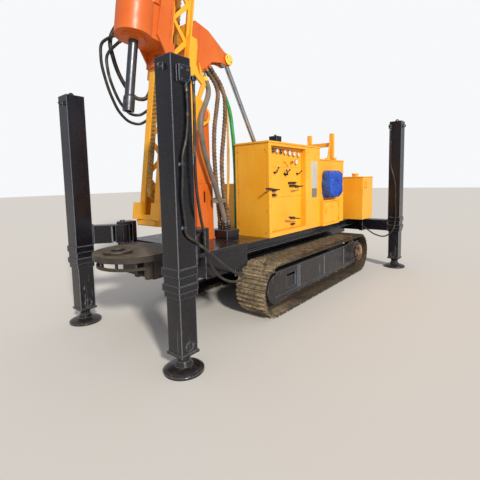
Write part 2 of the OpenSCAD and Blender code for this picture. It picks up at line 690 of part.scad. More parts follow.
// End stops at the foot: inner and outer half widths, thickness and height
stop_in = 96;
stop_out = 250;
stop_t = 44;
stop_h = 135;
module mast_beam() color(yellow) rig() on_mast() {
    front = mast_back + mast_depth;
    t0 = -mast_below;
    difference() {
        union() {
            span([mast_back, -guide_y, t0], [mast_back + flange_t, guide_y, t0 + mast_len]);
            both_sides() {
                span([mast_back, web_y - web_t, t0], [front, web_y, t0 + mast_len]);
                span([front - rail_t, slot_y, t0], [front, rail_y, t0 + mast_len]);
            }
        }
        // a row of triangular openings, each pair leaving a slanted brace
        for (i = [0 : floor((mast_len - 500) / bay) - 1]) translate([0, 0, t0 + 260 + i * bay])
            plate_xz(-web_y - 1, web_y + 1) {
                a = mast_back + 50;
                b = front - rail_t - 26;
                polygon([[a, 40], [b - 20, bay / 2 - 20], [a, bay - 40]]);
                polygon([[b, 0], [b, bay / 2 - 60], [a + 42, 0]]);
                polygon([[b, bay], [b, bay / 2 + 20], [a + 42, bay]]);
            }
        // windows in the back plate
        for (i = [0 : 4]) span([mast_back - 1, -80, 1050 + i * 680], [mast_back + flange_t + 1, 80, 1450 + i * 680]);
    }
    // hose brackets on the far web: a backing plate and its port block
    for (b = web_ports) {
        span([claw_front + 6, -web_y - 8, b[0]], [mast_back + mast_depth - 52, -web_y + 1, b[1]]);
        span([mast_back + 150, -web_y - b[2], b[0] + 10], [mast_back + mast_depth - 52, -web_y - 7, b[1] - 10]);
    }
}
// Port blocks on the mast's far web: lower and upper end along the mast, and reach
web_ports = [[-90, 90, 50], [350, 500, 145]];
foot_h = 130;
module mast_foot() color(yellow) rig() on_mast() {
    front = mast_back + mast_depth;
    t0 = -mast_below;
    step = claw_front + 6;
    difference() {
        union() {
            // the foot narrows at the back, so that it passes between the carrier's claws
            span([mast_back + 8, -web_y, t0 - foot_h], [front + 10, web_y, t0]);
            span([step, -rail_y, t0 - foot_h], [front + 10, rail_y, t0]);
            // end stops on both rails, joined to the foot by their outer plates
            both_sides() {
                span([front + touch, stop_in, t0], [front + stop_t, stop_out, t0 + stop_h]);
                span([front - 20, stop_in, t0 - 60], [front + stop_t, stop_out, t0 + 1]);
            }
        }
        span([mast_back + 38, -web_y + 20, t0 - foot_h - 1], [front - 20, web_y - 20, t0 - 24]);
        both_sides() span([front - 40, stop_in - 1, t0], [front + touch, stop_out + 1, t0 + 2]);
    }
    // front lip under the stops
    span([front + 9, -rail_y + 14, t0 - foot_h + 8], [front + 26, rail_y - 14, t0 - 66]);
    // rope eye on the far side
    translate([front - 40, -rail_y - 1, t0 - 74]) rotate([0, 90, 0]) linear_extrude(24) difference() {
        union() {
            translate([0, -30]) circle(r = 34);
            translate([-34, -30]) square([68, 32]);
        }
        translate([0, -32]) circle(r = 15);
    }
}
crown_t = mast_len - mast_below;
module mast_crown() color(yellow) rig() on_mast() {
    front = mast_back + mast_depth;
    difference() {
        union() {
            span([mast_back - 60, -guide_y - 10, crown_t], [front + 30, guide_y + 10, crown_t + 30]);
            both_sides() plate_xz(110, 130) union() {
                polygon([[mast_back - 60, crown_t + 29], [front + 30, crown_t + 29], [front + 10, crown_t + 150],
                    [mast_back + 60, crown_t + 210], [mast_back - 60, crown_t + 120]]);
            }
        }
        translate([mast_back + 90, 0, crown_t + 120]) bar_y(30, -140, 140);
        span([mast_back + 40, -60, crown_t - 1], [front - 30, 60, crown_t + 31]);
    }
    // head sheaves on their pin
    translate([mast_back + 90, 0, crown_t + 120]) {
        bar_y(30, -138, 138);
        for (y = [-70, 0, 70]) translate([0, y, 0]) rotate([-90, 0, 0]) rotate_extrude()
            polygon([[29, -24], [100, -24], [86, 0], [100, 24], [29, 24]]);
    }
}

// Feed chain on its two sprockets, in the mast's open slot
chain_n = mast_back + 164;
chain_y = -40;
chain_half = 33;
chain_r = 118;
chain_low = -mast_below + 155 + chain_r;
chain_high = crown_t - 140;
link_len = 50;
module feed_chain() color(yellow) rig() on_mast() translate([0, chain_y, 0]) {
    links = floor((chain_high - chain_low) / link_len);
    turn = 360 / floor(2 * PI * chain_r / link_len);
    plate_xz(-chain_half, chain_half) difference() {
        union() {
            for (t = [chain_low, chain_high]) translate([chain_n, t]) circle(r = chain_r + 3);
            translate([chain_n - chain_r - 3, chain_low]) square([2 * chain_r + 6, chain_high - chain_low]);
            for (i = [0 : links - 1]) for (s = [-1, 1])
                translate([chain_n + s * chain_r, chain_low + (i + 0.5) * link_len])
                    square([26, link_len * 0.58], center = true);
            for (a = [turn : turn : 179]) {
                translate([chain_n, chain_low]) rotate(-a) translate([chain_r, 0]) square([26, 29], center = true);
                translate([chain_n, chain_high]) rotate(a) translate([chain_r, 0]) square([26, 29], center = true);
            }
        }
        for (t = [chain_low, chain_high]) translate([chain_n, t]) circle(r = chain_r - 9);
        translate([chain_n - chain_r + 9, chain_low]) square([2 * chain_r - 18, chain_high - chain_low]);
    }
    for (t = [chain_low, chain_high]) translate([chain_n, 0, t]) {
        difference() {
            bar_y(chain_r - 9 - touch, -20, 20);
            for (a = [0 : 60 : 359]) rotate([0, a, 0]) translate([66, 0, 0]) bar_y(17, -33, 33);
        }
        bar_y(40, -chain_half, chain_half);
        bar_y(26, -web_y + web_t + touch - chain_y, web_y - web_t - touch - chain_y);
    }
}

// Rotary head: the carriage, the gearbox with its motors, and the spindle
claw_in = rail_y + slide_gap;
carriage_n = mast_back + mast_depth + slide_gap;
carriage_low = head_t - 180;
carriage_high = head_t + 760;
module head_carriage() color(orange) rig() on_mast() {
    difference() {
        span([carriage_n, -claw_in - 26, carriage_low], [carriage_n + 30, claw_in + 26, carriage_high]);
        span([carriage_n - 1, -70, carriage_low + 60], [carriage_n + 31, 70, head_t - 40]);
    }
    both_sides() for (t = [[carriage_low, carriage_low + 220], [carriage_high - 220, carriage_high]]) {
        span([carriage_n - rail_t - 2 * slide_gap - 20, claw_in, t[0]], [carriage_n + 1, claw_in + 26, t[1]]);
        span([carriage_n - rail_t - 2 * slide_gap - 20, web_y + 6, t[0]],
            [carriage_n - rail_t - 2 * slide_gap, claw_in + 1, t[1]]);
    }
    // side cheeks that brace the gearbox
    both_sides() plate_xz(176, 196) polygon([[carriage_n + 29, carriage_low + 40], [carriage_n + 29, head_t + 700],
        [carriage_n + 160, head_t + 560], [carriage_n + 190, head_t + 60]]);
}
gear_r = 205;
head_port_y = 232;
// Necks: distance forward, height along the mast, radius
head_ports = [[960, 690, head_hose_r], [900, 660, head_hose_r], [880, 900, air_hose_r]];
gear_h = 380;
module head_gearbox() color(orange) rig() on_mast() {
    difference() {
        translate([0, 0, head_t]) linear_extrude(gear_h) {
            translate([drill_n, 0]) circle(r = gear_r);
            translate([carriage_n + 30, -175]) square([drill_n - carriage_n - 30, 350]);
        }
        translate([drill_n, 0, head_t - 1]) cylinder(r = spindle_r + 24, h = gear_h + 40);
    }
    // bearing covers above and below
    for (z = [head_t - 34, head_t + gear_h - 1]) translate([drill_n, 0, z]) difference() {
        cylinder(r = 130, h = 35);
        translate([0, 0, -1]) cylinder(r = spindle_r + touch, h = 40);
    }
    // hose necks on the far side
    for (p = head_ports) translate([p[0], 0, p[1]]) bar_y(p[2], -head_port_y, -170);
    // two hydraulic motors
    both_sides() translate([drill_n - 130, 105, head_t + gear_h - 1]) {
        cylinder(r = 86, h = 70);
        translate([0, 0, 69]) cylinder(r = 66, h = 190);
        translate([-40, -40, 258]) cube([80, 80, 50]);
    }
}
module spindle() color(black) rig() on_mast() translate([drill_n, 0, head_t]) {
    difference() {
        union() {
            translate([0, 0, -spindle_len]) cylinder(r = spindle_r, h = spindle_len + gear_h + 120);
            translate([0, 0, -spindle_len]) cylinder(r = spindle_end_r, h = 150);
            translate([0, 0, -spindle_len + 149]) cylinder(r1 = spindle_end_r, r2 = spindle_r, h = 20, $fn = 48);
            translate([0, 0, gear_h + 60]) cylinder(r = 74, h = 60);
        }
        translate([0, 0, -spindle_len - 1]) cylinder(r = spindle_bore, h = 121);
        // wrench flats
        for (s = [-1, 1]) translate([s * (spindle_end_r + 42), 0, -spindle_len + 100])
            cube([100, 200, 50], center = true);
    }
}

// Lift cylinder: the barrel turns on its foot pin, and the rod slides out towards the carrier's head
eye_rest = [-pivot_x - eye_n * cos(lean) - eye_t * sin(lean), pivot_z - eye_n * sin(lean) + eye_t * cos(lean)];
base = [-base_x, base_z];
lift_vec = eye_rest - base;
lift_len = norm(lift_vec);
lift_angle = atan2(lift_vec[0], lift_vec[1]);
module on_lift() rig() translate([base[0], 0, base[1]]) rotate([0, lift_angle, 0]) children();
piston_h = 40;
bore_low = 100;
gland_h = 55;
rod_inside = barrel_len - gland_h - piston_h - 125;
module lift_barrel() {
    color(yellow) on_lift() difference() {
        union() {
            bar_y(64, -eye_half, eye_half);
            translate([-58, -eye_half, 0]) cube([116, 2 * eye_half, 96]);
            translate([0, 0, 94]) cylinder(r = barrel_r, h = barrel_len - 94);
            translate([0, 0, barrel_len - 90]) cylinder(r = barrel_r + 12, h = 90);
            translate([barrel_r - 8, -22, barrel_len - 70]) cube([46, 44, 44]);
            translate([barrel_r - 8, -22, 110]) cube([40, 44, 44]);
        }
        bar_y(base_pin_r + touch, -eye_half - 1, eye_half + 1);
        translate([0, 0, bore_low]) cylinder(r = barrel_r - 18, h = barrel_len - gland_h - bore_low);
        translate([0, 0, barrel_len - gland_h - 1]) cylinder(r = rod_r + touch, h = gland_h + 2);
    }
}
module lift_rod() color(chrome) on_lift() {
    translate([0, 0, rod_inside]) cylinder(r = rod_r, h = lift_len - rod_inside - 30);
    translate([0, 0, rod_inside]) cylinder(r = barrel_r - 18 - touch, h = piston_h);
    translate([0, 0, lift_len]) bar_y(70, -eye_half, eye_half);
}

// Drill table on its box bracket, with the guide ring round its hole
table_bush = table_bore + 34;
table_x = table_front - table_y;
table_back = 350;
// The hole lies where the leaning drill axis meets the table's upper face
hole_x = -pivot_x + drill_n * cos(lean) - tan(lean) * (table_z - pivot_z - drill_n * sin(lean));
bracket_y = 300;
module table_outline(inset = 0) {
    circle(r = table_y - inset);
    translate([-table_back + inset, inset - table_y]) square([table_back - inset, 2 * (table_y - inset)]);
}
module drill_table() color(mud * 0.6) rig() {
    difference() {
        union() {
            translate([table_x, 0, table_z - 25]) linear_extrude(25) table_outline();
            // deep rim under the plate's edge
            translate([table_x, 0, table_z - 62]) linear_extrude(38) difference() {
                table_outline();
                table_outline(14);
            }
            translate([hole_x, 0, table_z - 75]) cylinder(r = table_bush, h = 90);
            // ribs from the bush to the rim
            translate([0, 0, table_z - 60]) linear_extrude(40) intersection() {
                translate([table_x, 0]) table_outline(10);
                for (a = [-90 : 30 : 90]) translate([hole_x, 0]) rotate(a)
                    translate([table_bush - 6, -7]) square([2 * table_y, 14]);
            }
            // guard hoop hung under the rim on five posts
            translate([table_x, 0, table_z - 150]) linear_extrude(26) difference() {
                circle(r = table_y - 36);
                circle(r = table_y - 70);
                translate([-table_y, -table_y]) square([table_y + 110, 2 * table_y]);
            }
            for (a = [-60 : 30 : 60]) translate([table_x, 0, 0]) rotate([0, 0, a])
                span([table_y - 66, -11, table_z - 130], [table_y - 42, 11, table_z - 20]);
        }
        translate([hole_x, 0, table_z - 100]) cylinder(r = table_bore, h = 140);
    }
    // box bracket that fastens the table to the front cross box
    difference() {
        span([-front_box_x, -bracket_y, 705], [-180, bracket_y, table_z - 60]);
        span([-front_box_x + 14, -bracket_y + 14, 704], [-194, bracket_y - 14, table_z - 90]);
    }
    both_sides() span([-front_box_x, bracket_y - 14, table_z - 150], [-200, bracket_y, table_z - 24]);
    // stop blocks hung from the bracket's front
    for (y = [bracket_y - 70, 40]) span([-181, y, table_z - 290], [-110, y + 60, table_z - 24]);
}
module table_cover() color(mud) rig() translate([hole_x, 0, table_z + 15 + touch]) difference() {
    cylinder(r = table_bush + 12, h = 14);
    translate([0, 0, -1]) cylinder(r = 80, h = 16);
}

// Operator's console: a sheet cabinet with a deep recess for the gauges and levers
rec_front = console_x + 62;
rec_rear = console_x + console_len - 478;
rec_low = deck_z + 60;
rec_high = console_top - 60;
module console_cabinet() color(yellow) rig() difference() {
    union() {
        span([-console_x - console_len, console_in, deck_z], [-console_x, console_out, console_top]);
        span([-console_x - console_len - 8, console_in, console_top - 22],
            [-console_x + 12, console_out + 10, console_top]);
    }
    // hollow, open to the deck below
    span([-console_x - console_len + cab_wall, console_in + cab_wall, deck_z - 1],
        [-console_x - cab_wall, console_out - recess_d - cab_wall, console_top - cab_wall]);
    span([-rec_rear, console_out - recess_d, rec_low], [-rec_front, console_out + 20, rec_high]);
    span([-console_x - console_len + cab_wall, console_out - recess_d - cab_wall - 1, deck_z - 1],
        [-rec_rear - cab_wall, console_out - cab_wall, console_top - cab_wall]);
    // shallow joint lines of the front door panel
    span([-console_x - 4, console_in + 40, deck_z + 40], [-console_x + 1, console_in + 46, console_top - 60]);
    span([-console_x - 4, console_out - 46, deck_z + 40], [-console_x + 1, console_out - 40, console_top - 60]);
}
// Gauges: distance behind the recess's front edge, height, radius
gauges = [[145, 2156, 38], [236, 2152, 38], [336, 2147, 38], [441, 2142, 38], [562, 2136, 42],
    [692, 2130, 42], [822, 2124, 42], [758, 2012, 46]];
// Small round knobs and screws: distance, height, radius
knobs = [[619, 2004, 20], [468, 1998, 13], [420, 2010, 8], [520, 1960, 11]];
panel_y = console_out - recess_d;
module gauge_panel() color(yellow) rig() {
    span([-rec_rear + 4, panel_y + touch, rec_low + 4], [-rec_front - 4, panel_y + 8, rec_high - 4]);
    // flanged cases with a raised bezel round a sunk face
    for (g = gauges) translate([-rec_front - g[0], 0, g[1]]) difference() {
        union() {
            bar_y(g[2], panel_y + 7, panel_y + 20);
            bar_y(g[2] - 5, panel_y + 19, panel_y + 30);
        }
        bar_y(g[2] - 9, panel_y + 25, panel_y + 31);
    }
    for (k = knobs) translate([-rec_front - k[0], 0, k[1]]) {
        bar_y(k[2] * 0.6, panel_y + 7, panel_y + 26);
        bar_y(k[2], panel_y + 25, panel_y + 38);
    }
    // seams between the upper, middle and lower panels
    for (z = [1930, 1500]) span([-rec_rear + 4, panel_y + 7, z], [-rec_front - 4, panel_y + 12, z + 8]);
}
// Single levers: distance behind the recess's front edge, height, length, slope of the stick in degrees
levers = [[180, 1850, 90, 35], [438, 1832, 110, 55], [470, 1820, 80, -30], [792, 1836, 90, 60]];
// Banks of small spools: distance, height, number, pitch
banks = [[560, 1700, 6, 34], [590, 1655, 5, 34], [120, 1600, 3, 30], [130, 1535, 3, 30],
    [610, 1170, 3, 36], [620, 1075, 3, 30]];
// Long bars: distance and height of the pivot, length, and how far they rise to the rear
bars = [[150, 1612, -310, -22], [800, 1646, -230, 10], [700, 1160, -300, -45]];
bar_out = recess_d + 14;
module control_levers() color(black) rig() {
    for (l = levers) translate([-rec_front - l[0], panel_y + 8 + touch, l[1]]) {
        bar_y(16, 0, 16);
        bar_y(8, 15, 50);
        translate([0, 46, 0]) rotate([0, -l[3], 0]) {
            translate([0, 0, -8]) cylinder(r = 7, h = l[2]);
            translate([0, 0, l[2] - 10]) sphere(r = 14, $fn = 24);
        }
    }
    for (b = banks) for (i = [0 : b[2] - 1])
        translate([-rec_front - b[0] - i * b[3], panel_y + 8 + touch, b[1]]) {
        translate([-b[3] / 2 + 1, 0, -14]) cube([b[3] - 1, 18, 28]);
        bar_y(6, 17, 44);
    }
    for (b = bars) translate([-rec_front - b[0], panel_y + 8 + touch, b[1]]) {
        bar_y(15, 0, 18);
        bar_y(9, 17, bar_out);
        // flat bar that widens to its grip
        long = norm([b[2], b[3]]);
        translate([0, bar_out - 6, 0]) rotate([0, -atan2(b[3], b[2]) - 90, 0]) plate_xz(0, 9) polygon([[-7, -12],
            [7, -12], [8, long * 0.45], [15, long * 0.6], [13, long], [-13, long], [-15, long * 0.6],
            [-8, long * 0.45]]);
    }
}

// Engine hood behind the console, the low side box under the blue cover, and its door
hood_x0 = console_x + console_len + touch;
hood_x1 = console_x + console_len + hood_len;
module engine_hood() color(yellow) rig() {
    difference() {
        union() {
            span([-hood_x1, -console_out, deck_z], [-hood_x0, console_out, hood_top]);
            span([-hood_x1 - 10, -console_out - 10, hood_top - 20], [-hood_x0, console_out + 10, hood_top]);
        }
        span([-hood_x1 + cab_wall, -console_out + cab_wall, deck_z - 1],
            [-hood_x0 - cab_wall, console_out - cab_wall, hood_top - cab_wall]);
        // notch for the lift cylinder's foot
        span([-hood_x0 - 120, -130, deck_z - 1], [-hood_x0 + 1, 130, deck_z + 260]);
        // side opening behind the low box and its door
        span([-hood_x0 - 640, console_out - cab_wall - 1, deck_z + 40],
            [-hood_x0 - 60, console_out + 11, deck_z + 420]);
        // air louvres on the far side and at the rear
        for (i = [0 : 9]) {
            span([-hood_x1 + 150, -console_out - 1, 1120 + i * 70], [-hood_x0 - 150, -console_out + cab_wall + 1,
                1150 + i * 70]);
        }
    }
    // filler caps on the roof
    for (y = [[-3, 560], [-3, 430]]) translate([-hood_x1 + 120, y[1], hood_top - 1]) {
        cylinder(r = 36, h = 30);
        translate([0, 0, 29]) cylinder(r = 46, h = 28);
    }
}
side_box_len = 640;
side_box_out = console_out + 60;
side_box_top = deck_z + 430;
// The door's hinge line, just outside the box's front face
door_hinge = [-hood_x0 - side_box_len + 30, side_box_out + 10];
door_pin_r = 5;
knuckles = [deck_z + 90, side_box_top - 130];
knuckle_h = 60;
module hood_side_box() color(yellow) rig() {
    difference() {
        span([-hood_x0 - side_box_len, console_out + touch, deck_z], [-hood_x0, side_box_out, side_box_top]);
        span([-hood_x0 - side_box_len + 30, console_out, deck_z + 40],
            [-hood_x0 - 30, side_box_out + 1, side_box_top - 24]);
    }
    // a pin between two lugs at each knuckle
    for (z = knuckles) translate([door_hinge[0], door_hinge[1], z]) {
        for (h = [-13, knuckle_h + 1]) translate([0, 0, h]) linear_extrude(12) {
            circle(r = 9, $fn = 24);
            translate([-34, -11]) square([34, 12]);
        }
        translate([0, 0, -2]) cylinder(r = door_pin_r, h = knuckle_h + 4, $fn = 24);
    }
}
door_gap = 5;
module side_box_door() color(yellow) rig() {
    x0 = -hood_x0 - side_box_len + 30 + door_gap;
    x1 = -hood_x0 - 30 - door_gap;
    span([x0 + 4, side_box_out - 18, deck_z + 40 + door_gap], [x1, side_box_out, side_box_top - 24 - door_gap]);
    // knuckles that turn on the box's pins
    for (z = knuckles) translate([door_hinge[0], door_hinge[1], z]) linear_extrude(knuckle_h) difference() {
        union() {
            circle(r = 9, $fn = 24);
            translate([0, -11]) square([44, 6]);
        }
        circle(r = door_pin_r + touch, $fn = 24);
    }
    // latch handle
    span([x1 - 70, side_box_out - 1, deck_z + 210], [x1 - 48, side_box_out + 22, deck_z + 290]);
}
engine_gap = 130;
module engine_block() color(grey) rig()
    span([-hood_x1 + 120, -console_out + 270, deck_z + touch],
        [-base_x - engine_gap, console_out - 310, hood_top - 300]);
// Cooler and engine end cover on the far side of the console
cover_in = 160;
cover_top = 1700;
cover_front = console_x + 555;
module engine_cover() color(yellow) rig() difference() {
    span([-console_x - console_len, -console_out, deck_z], [-cover_front, -cover_in, cover_top]);
    span([-console_x - console_len + cab_wall, -console_out + cab_wall, deck_z - 1],
        [-cover_front - cab_wall, -cover_in - cab_wall, cover_top - cab_wall]);
    // cooler grille slots on the far side
    for (i = [0 : 9]) span([-console_x - console_len + 160, -console_out - 1, 1080 + i * 56],
        [-cover_front - 120, -console_out + cab_wall + 1, 1106 + i * 56]);
}
module rear_tank() color(yellow) rig() {
    difference() {
        union() {
            span([-tank_x - tank_len, -tank_y, deck_z], [-tank_x, tank_y, tank_top]);
            span([-tank_x - tank_len - 8, -tank_y - 8, tank_top - 18], [-tank_x + 8, tank_y + 8, tank_top]);
        }
        span([-tank_x - tank_len + cab_wall, -tank_y + cab_wall, deck_z - 1], [-tank_x - cab_wall, tank_y - cab_wall,
            tank_top - cab_wall]);
        // shallow pressings in the rear face
        for (z = [1150, 1330, 1510])
            span([-tank_x - tank_len - 1, -tank_y + 60, z], [-tank_x - tank_len + 8, tank_y - 60, z + 90]);
    }
    // wire hooks on the left end
    for (x = [110, 190]) translate([-tank_x - x, tank_y - 1, 0]) {
        span([-6, 0, 1560], [6, 14, 1700]);
        span([-6, 12, 1560], [40, 22, 1574]);
    }
    for (y = [-700, 700]) translate([-tank_x - tank_len / 2, y, tank_top - 1]) {
        cylinder(r = 55, h = 40);
        translate([0, 0, 39]) cylinder(r = 68, h = 26);
    }
}
// Cradle on the tank that the folded mast lies over
rest_x = tank_x + 170;
rest_beam = 2480;
rest_post_y = 250;
rest_top = 2660;
module mast_rest() color(yellow) rig() {
    both_sides() {
        span([-rest_x - 38, rest_post_y - 36, tank_top + touch], [-rest_x + 38, rest_post_y + 36, rest_top]);
        span([-rest_x - 90, rest_post_y - 80, tank_top + touch], [-rest_x + 90, rest_post_y + 80, tank_top + 16]);
        plate_xz(rest_post_y - 10, rest_post_y + 10) polygon([[-rest_x + 37, rest_top - 20],
            [-rest_x + 37, rest_top - 90], [-rest_x + 250, tank_top + 40], [-rest_x + 250, tank_top + 15],
            [-rest_x + 320, tank_top + 15], [-rest_x + 320, tank_top + 40]]);
    }
    span([-rest_x - 30, -rest_post_y, rest_beam - 80], [-rest_x + 30, rest_post_y, rest_beam]);
}
// Plastic sheet tied over a control box on the hood's side
cover_x0 = hood_x0 + 40;
cover_x1 = hood_x0 + 560;
module blue_cover() color(blue) rig()
    span([-cover_x1, console_out + touch, side_box_top + 40], [-cover_x0, console_out + 170, side_box_top + 500]);

// Hoses. The leg hoses run from the left front leg's valve block to the ports below the front cross box.
leg_hose_y = front_leg_y + leg_face + hose_off;
down = [0, 0, -1];
leg_route_front = [[-45, 0, 2380], [-20, 0, 2120], [33, 0, 1930], [33, 0, 1870], [50, 0, 1600], [27, 0, 1375],
    [27, 0, 1315], [-110, 2, 1190], [-300, -63, 1080], [-600, -148, 880], [-850, -185, 720], [-990, -215, 668]];
leg_route_back = [[-97, 30, 2350], [-85, 30, 2010], [-90, 30, 1720], [-130, 27, 1440], [-210, -23, 1290],
    [-310, -123, 1130], [-430, -178, 930], [-590, -188, 740], [-780, -188, 640], [-960, -200, 620], [-1050, -235, 640]];
module leg_hose_front() color(rubber) rig() hose(concat([[-40, leg_hose_y, valve_z - valve_h / 2 - 42]],
    [for (p = leg_route_front) p + [0, leg_hose_y, 0]], [[-leg_port_x[0], leg_port_y, leg_port_z]]),
    leg_hose_r, [1, 0, -1], [down, [0, -1, 0]]);
module leg_hose_back() color(rubber) rig() hose(concat([[-97, leg_hose_y + 30, valve_z - 50]],
    [for (p = leg_route_back) p + [0, leg_hose_y, 0]], [[-leg_port_x[1], leg_port_y, leg_port_z]]),
    leg_hose_r, [1, 0, -1], [down, [0, -1, 0]]);

// The bundles run from the carrier's head down behind the column to the manifold on the deck.
function outlet_end(o) = let (p = outlet_at(o, outlet_h + touch)) [-pivot_x + p[0] * cos(lean) - p[1] * sin(lean), o[2],
    pivot_z + p[0] * sin(lean) + p[1] * cos(lean)];
function outlet_way(o) = let (d = face_out(o[0])) [d[0] * cos(lean) - d[1] * sin(lean), 0,
    d[0] * sin(lean) + d[1] * cos(lean)];
function neck_end(p) = [p[0], p[1], manifold_top + neck_h];
feed_route = [[-1262, 75, 3070], [-1235, 150, 2960], [-1150, 240, 2830], [-1040, 300, 2690], [-950, 330, 2560],
    [-908, 340, 2400], [-943, 330, 2180], [-1038, 312, 1947], [-1168, 322, 1610]];
front_route = [[-1385, 55, 3135], [-1420, 100, 3040], [-1400, 165, 2920], [-1310, 228, 2700], [-1215, 265, 2400],
    [-1185, 280, 2130], [-1200, 280, 1800], [-1245, 266, 1450]];
back_route = [[-1465, 52, 3175], [-1530, 95, 3050], [-1540, 150, 2900], [-1490, 205, 2650], [-1434, 222, 2353],
    [-1365, 242, 2040], [-1345, 262, 1700]];
green_route = [[-1490, -15, 3160], [-1610, 25, 3030], [-1730, 58, 2780], [-1805, 60, 2420], [-1860, 42, 1950],
    [-1880, 25, 1450]];
module deck_hose(o, route, last, r) rig()
    hose(concat([outlet_end(o)], route, [last]), r, [0, 1, 0], [outlet_way(o), down]);
module feed_hose() color(wrap) deck_hose(outlets[0], feed_route, neck_end(necks[0]), feed_hose_r);
module bundle_front() color(wrap) deck_hose(outlets[1], front_route, neck_end(necks[1]), bundle_r);
module bundle_back() color(wrap) deck_hose(outlets[2], back_route, neck_end(necks[2]), bundle_r);
module green_hose() color([0.16, 0.55, 0.25])
    deck_hose(outlets[3], green_route, [green_end[0], green_end[1], deck_z + 12], bundle_r);

// Hoses of the rotary head, in the mast's own frame: forward, sideways, up along the mast
outer_route = [[975, -320, 690], [1030, -430, 620], [1020, -450, 470], [945, -450, 240], [850, -450, 60],
    [730, -450, -90], [600, -435, -165], [490, -395, -165], [434, -310, -105]];
inner_route = [[930, -310, 610], [975, -395, 500], [950, -400, 330], [860, -400, 140], [740, -398, -10],
    [620, -390, -80], [520, -355, -65], [473, -285, -10]];
air_route = [[905, -320, 870], [950, -400, 700], [890, -400, 480], [790, -400, 310], [685, -370, 180], [590, -330, 110],
    [505, -295, 130], [460, -275, 230]];
function head_port(i) = [head_ports[i][0], -head_port_y, head_ports[i][1]];
module head_hose(i, route, last, r, way) color(rubber) rig() on_mast()
    hose(concat([head_port(i)], route, [last]), r, [1, 0, 0], [[0, -1, 0], way]);
module head_hose_outer() head_hose(0, outer_route, [430, -web_y - web_ports[0][2], -50], head_hose_r, [0, 1, 0]);
module head_hose_inner() head_hose(1, inner_route, [470, -web_y - web_ports[0][2], 30], head_hose_r, [0, 1, 0]);
module air_hose() head_hose(2, air_route, [450, -270, web_ports[1][0] + 10], air_hose_r, [0, 0, 1]);

module track_frame_node(side) color(black) rig() mirror([0, side < 0 ? 1 : 0, 0]) track_frame();
module track_wheels_node(side) color(grey) rig() mirror([0, side < 0 ? 1 : 0, 0]) track_wheels();

deck_frame();
carbody();
front_box();
rear_beam();
mast_stand();
drill_table();
table_cover();
track_frame_node(1);  // track_frame_left
track_frame_node(-1);  // track_frame_right
track_loop();  // track_left
mirror([0, 1, 0]) track_loop();  // track_right
track_wheels_node(1);  // track_wheels_left
track_wheels_node(-1);  // track_wheels_right
console_cabinet();
gauge_panel();
control_levers();
engine_hood();
hood_side_box();
side_box_door();
engine_block();
engine_cover();
rear_tank();
mast_rest();
blue_cover();
front_arm(1);  // front_arm_left
front_arm(-1);  // front_arm_right
color(black) at_front_leg(1) {  // front_leg_left
    leg_outer();
    leg_valves();
}
color(black) at_front_leg(-1) leg_outer();  // front_leg_right
color(black) at_front_leg(1) leg_inner();  // front_jack_left
color(black) at_front_leg(-1) leg_inner();  // front_jack_right
rear_arm(1);  // rear_arm_left
rear_arm(-1);  // rear_arm_right
color(black) at_rear_leg(1) leg_outer();  // rear_leg_left
color(black) at_rear_leg(-1) leg_outer();  // rear_leg_right
color(black) at_rear_leg(1) leg_inner();  // rear_jack_left
color(black) at_rear_leg(-1) leg_inner();  // rear_jack_right
mast_carrier();
carrier_head();
mast_beam();
mast_foot();
mast_crown();
feed_chain();
head_carriage();
head_gearbox();
spindle();
lift_barrel();
lift_rod();
leg_hose_front();
leg_hose_back();
feed_hose();
bundle_front();
bundle_back();
green_hose();
head_hose_outer();
head_hose_inner();
air_hose();
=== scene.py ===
"""Looks of a used crawler drilling rig: worn chrome-yellow sheet metal, black jacking legs, muddy
tracks, hydraulic hoses and a control unit under a blue plastic sheet."""

import json
import math

import bmesh
import bpy
from mathutils import Matrix, Vector, noise


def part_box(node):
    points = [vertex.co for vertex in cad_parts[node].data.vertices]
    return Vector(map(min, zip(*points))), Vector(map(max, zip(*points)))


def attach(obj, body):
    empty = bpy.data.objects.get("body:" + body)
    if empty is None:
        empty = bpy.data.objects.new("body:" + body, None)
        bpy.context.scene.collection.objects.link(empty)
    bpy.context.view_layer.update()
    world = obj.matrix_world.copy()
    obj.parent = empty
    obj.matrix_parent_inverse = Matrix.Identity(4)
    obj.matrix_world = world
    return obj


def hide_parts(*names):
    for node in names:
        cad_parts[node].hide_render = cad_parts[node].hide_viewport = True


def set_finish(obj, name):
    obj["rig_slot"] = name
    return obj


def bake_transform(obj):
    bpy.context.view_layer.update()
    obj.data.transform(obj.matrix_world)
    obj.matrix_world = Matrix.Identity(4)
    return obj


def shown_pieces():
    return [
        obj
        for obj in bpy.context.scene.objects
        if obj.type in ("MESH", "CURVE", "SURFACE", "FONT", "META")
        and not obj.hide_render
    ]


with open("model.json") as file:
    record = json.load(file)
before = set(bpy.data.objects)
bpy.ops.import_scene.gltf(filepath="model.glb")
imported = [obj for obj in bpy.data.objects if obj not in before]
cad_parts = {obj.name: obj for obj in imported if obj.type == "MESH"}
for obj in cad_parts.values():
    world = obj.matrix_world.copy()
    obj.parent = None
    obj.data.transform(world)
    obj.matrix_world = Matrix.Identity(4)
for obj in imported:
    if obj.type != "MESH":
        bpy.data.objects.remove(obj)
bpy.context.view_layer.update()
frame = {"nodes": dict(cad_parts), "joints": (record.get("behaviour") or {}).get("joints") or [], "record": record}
nodes = frame["nodes"]
joints = {j["name"]: j for j in frame["joints"]}

# The mast's own frame: n forward from the pivot, y to the left, t up the mast
PIVOT = Vector(joints["mast_tilt"]["pos_m"])
UP_MAST = Vector(joints["mast_slide"]["axis"])
FORWARD = Vector((UP_MAST.z, 0, -UP_MAST.x))
# Distance of the front legs' line ahead of the origin
LEG_X = sum(c.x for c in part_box("front_jack_left")) / 2


def mast_point(n, y, t):
    """A point given in the mast's own frame, in metres."""
    return PIVOT + FORWARD * n + Vector((0, y, 0)) + UP_MAST * t


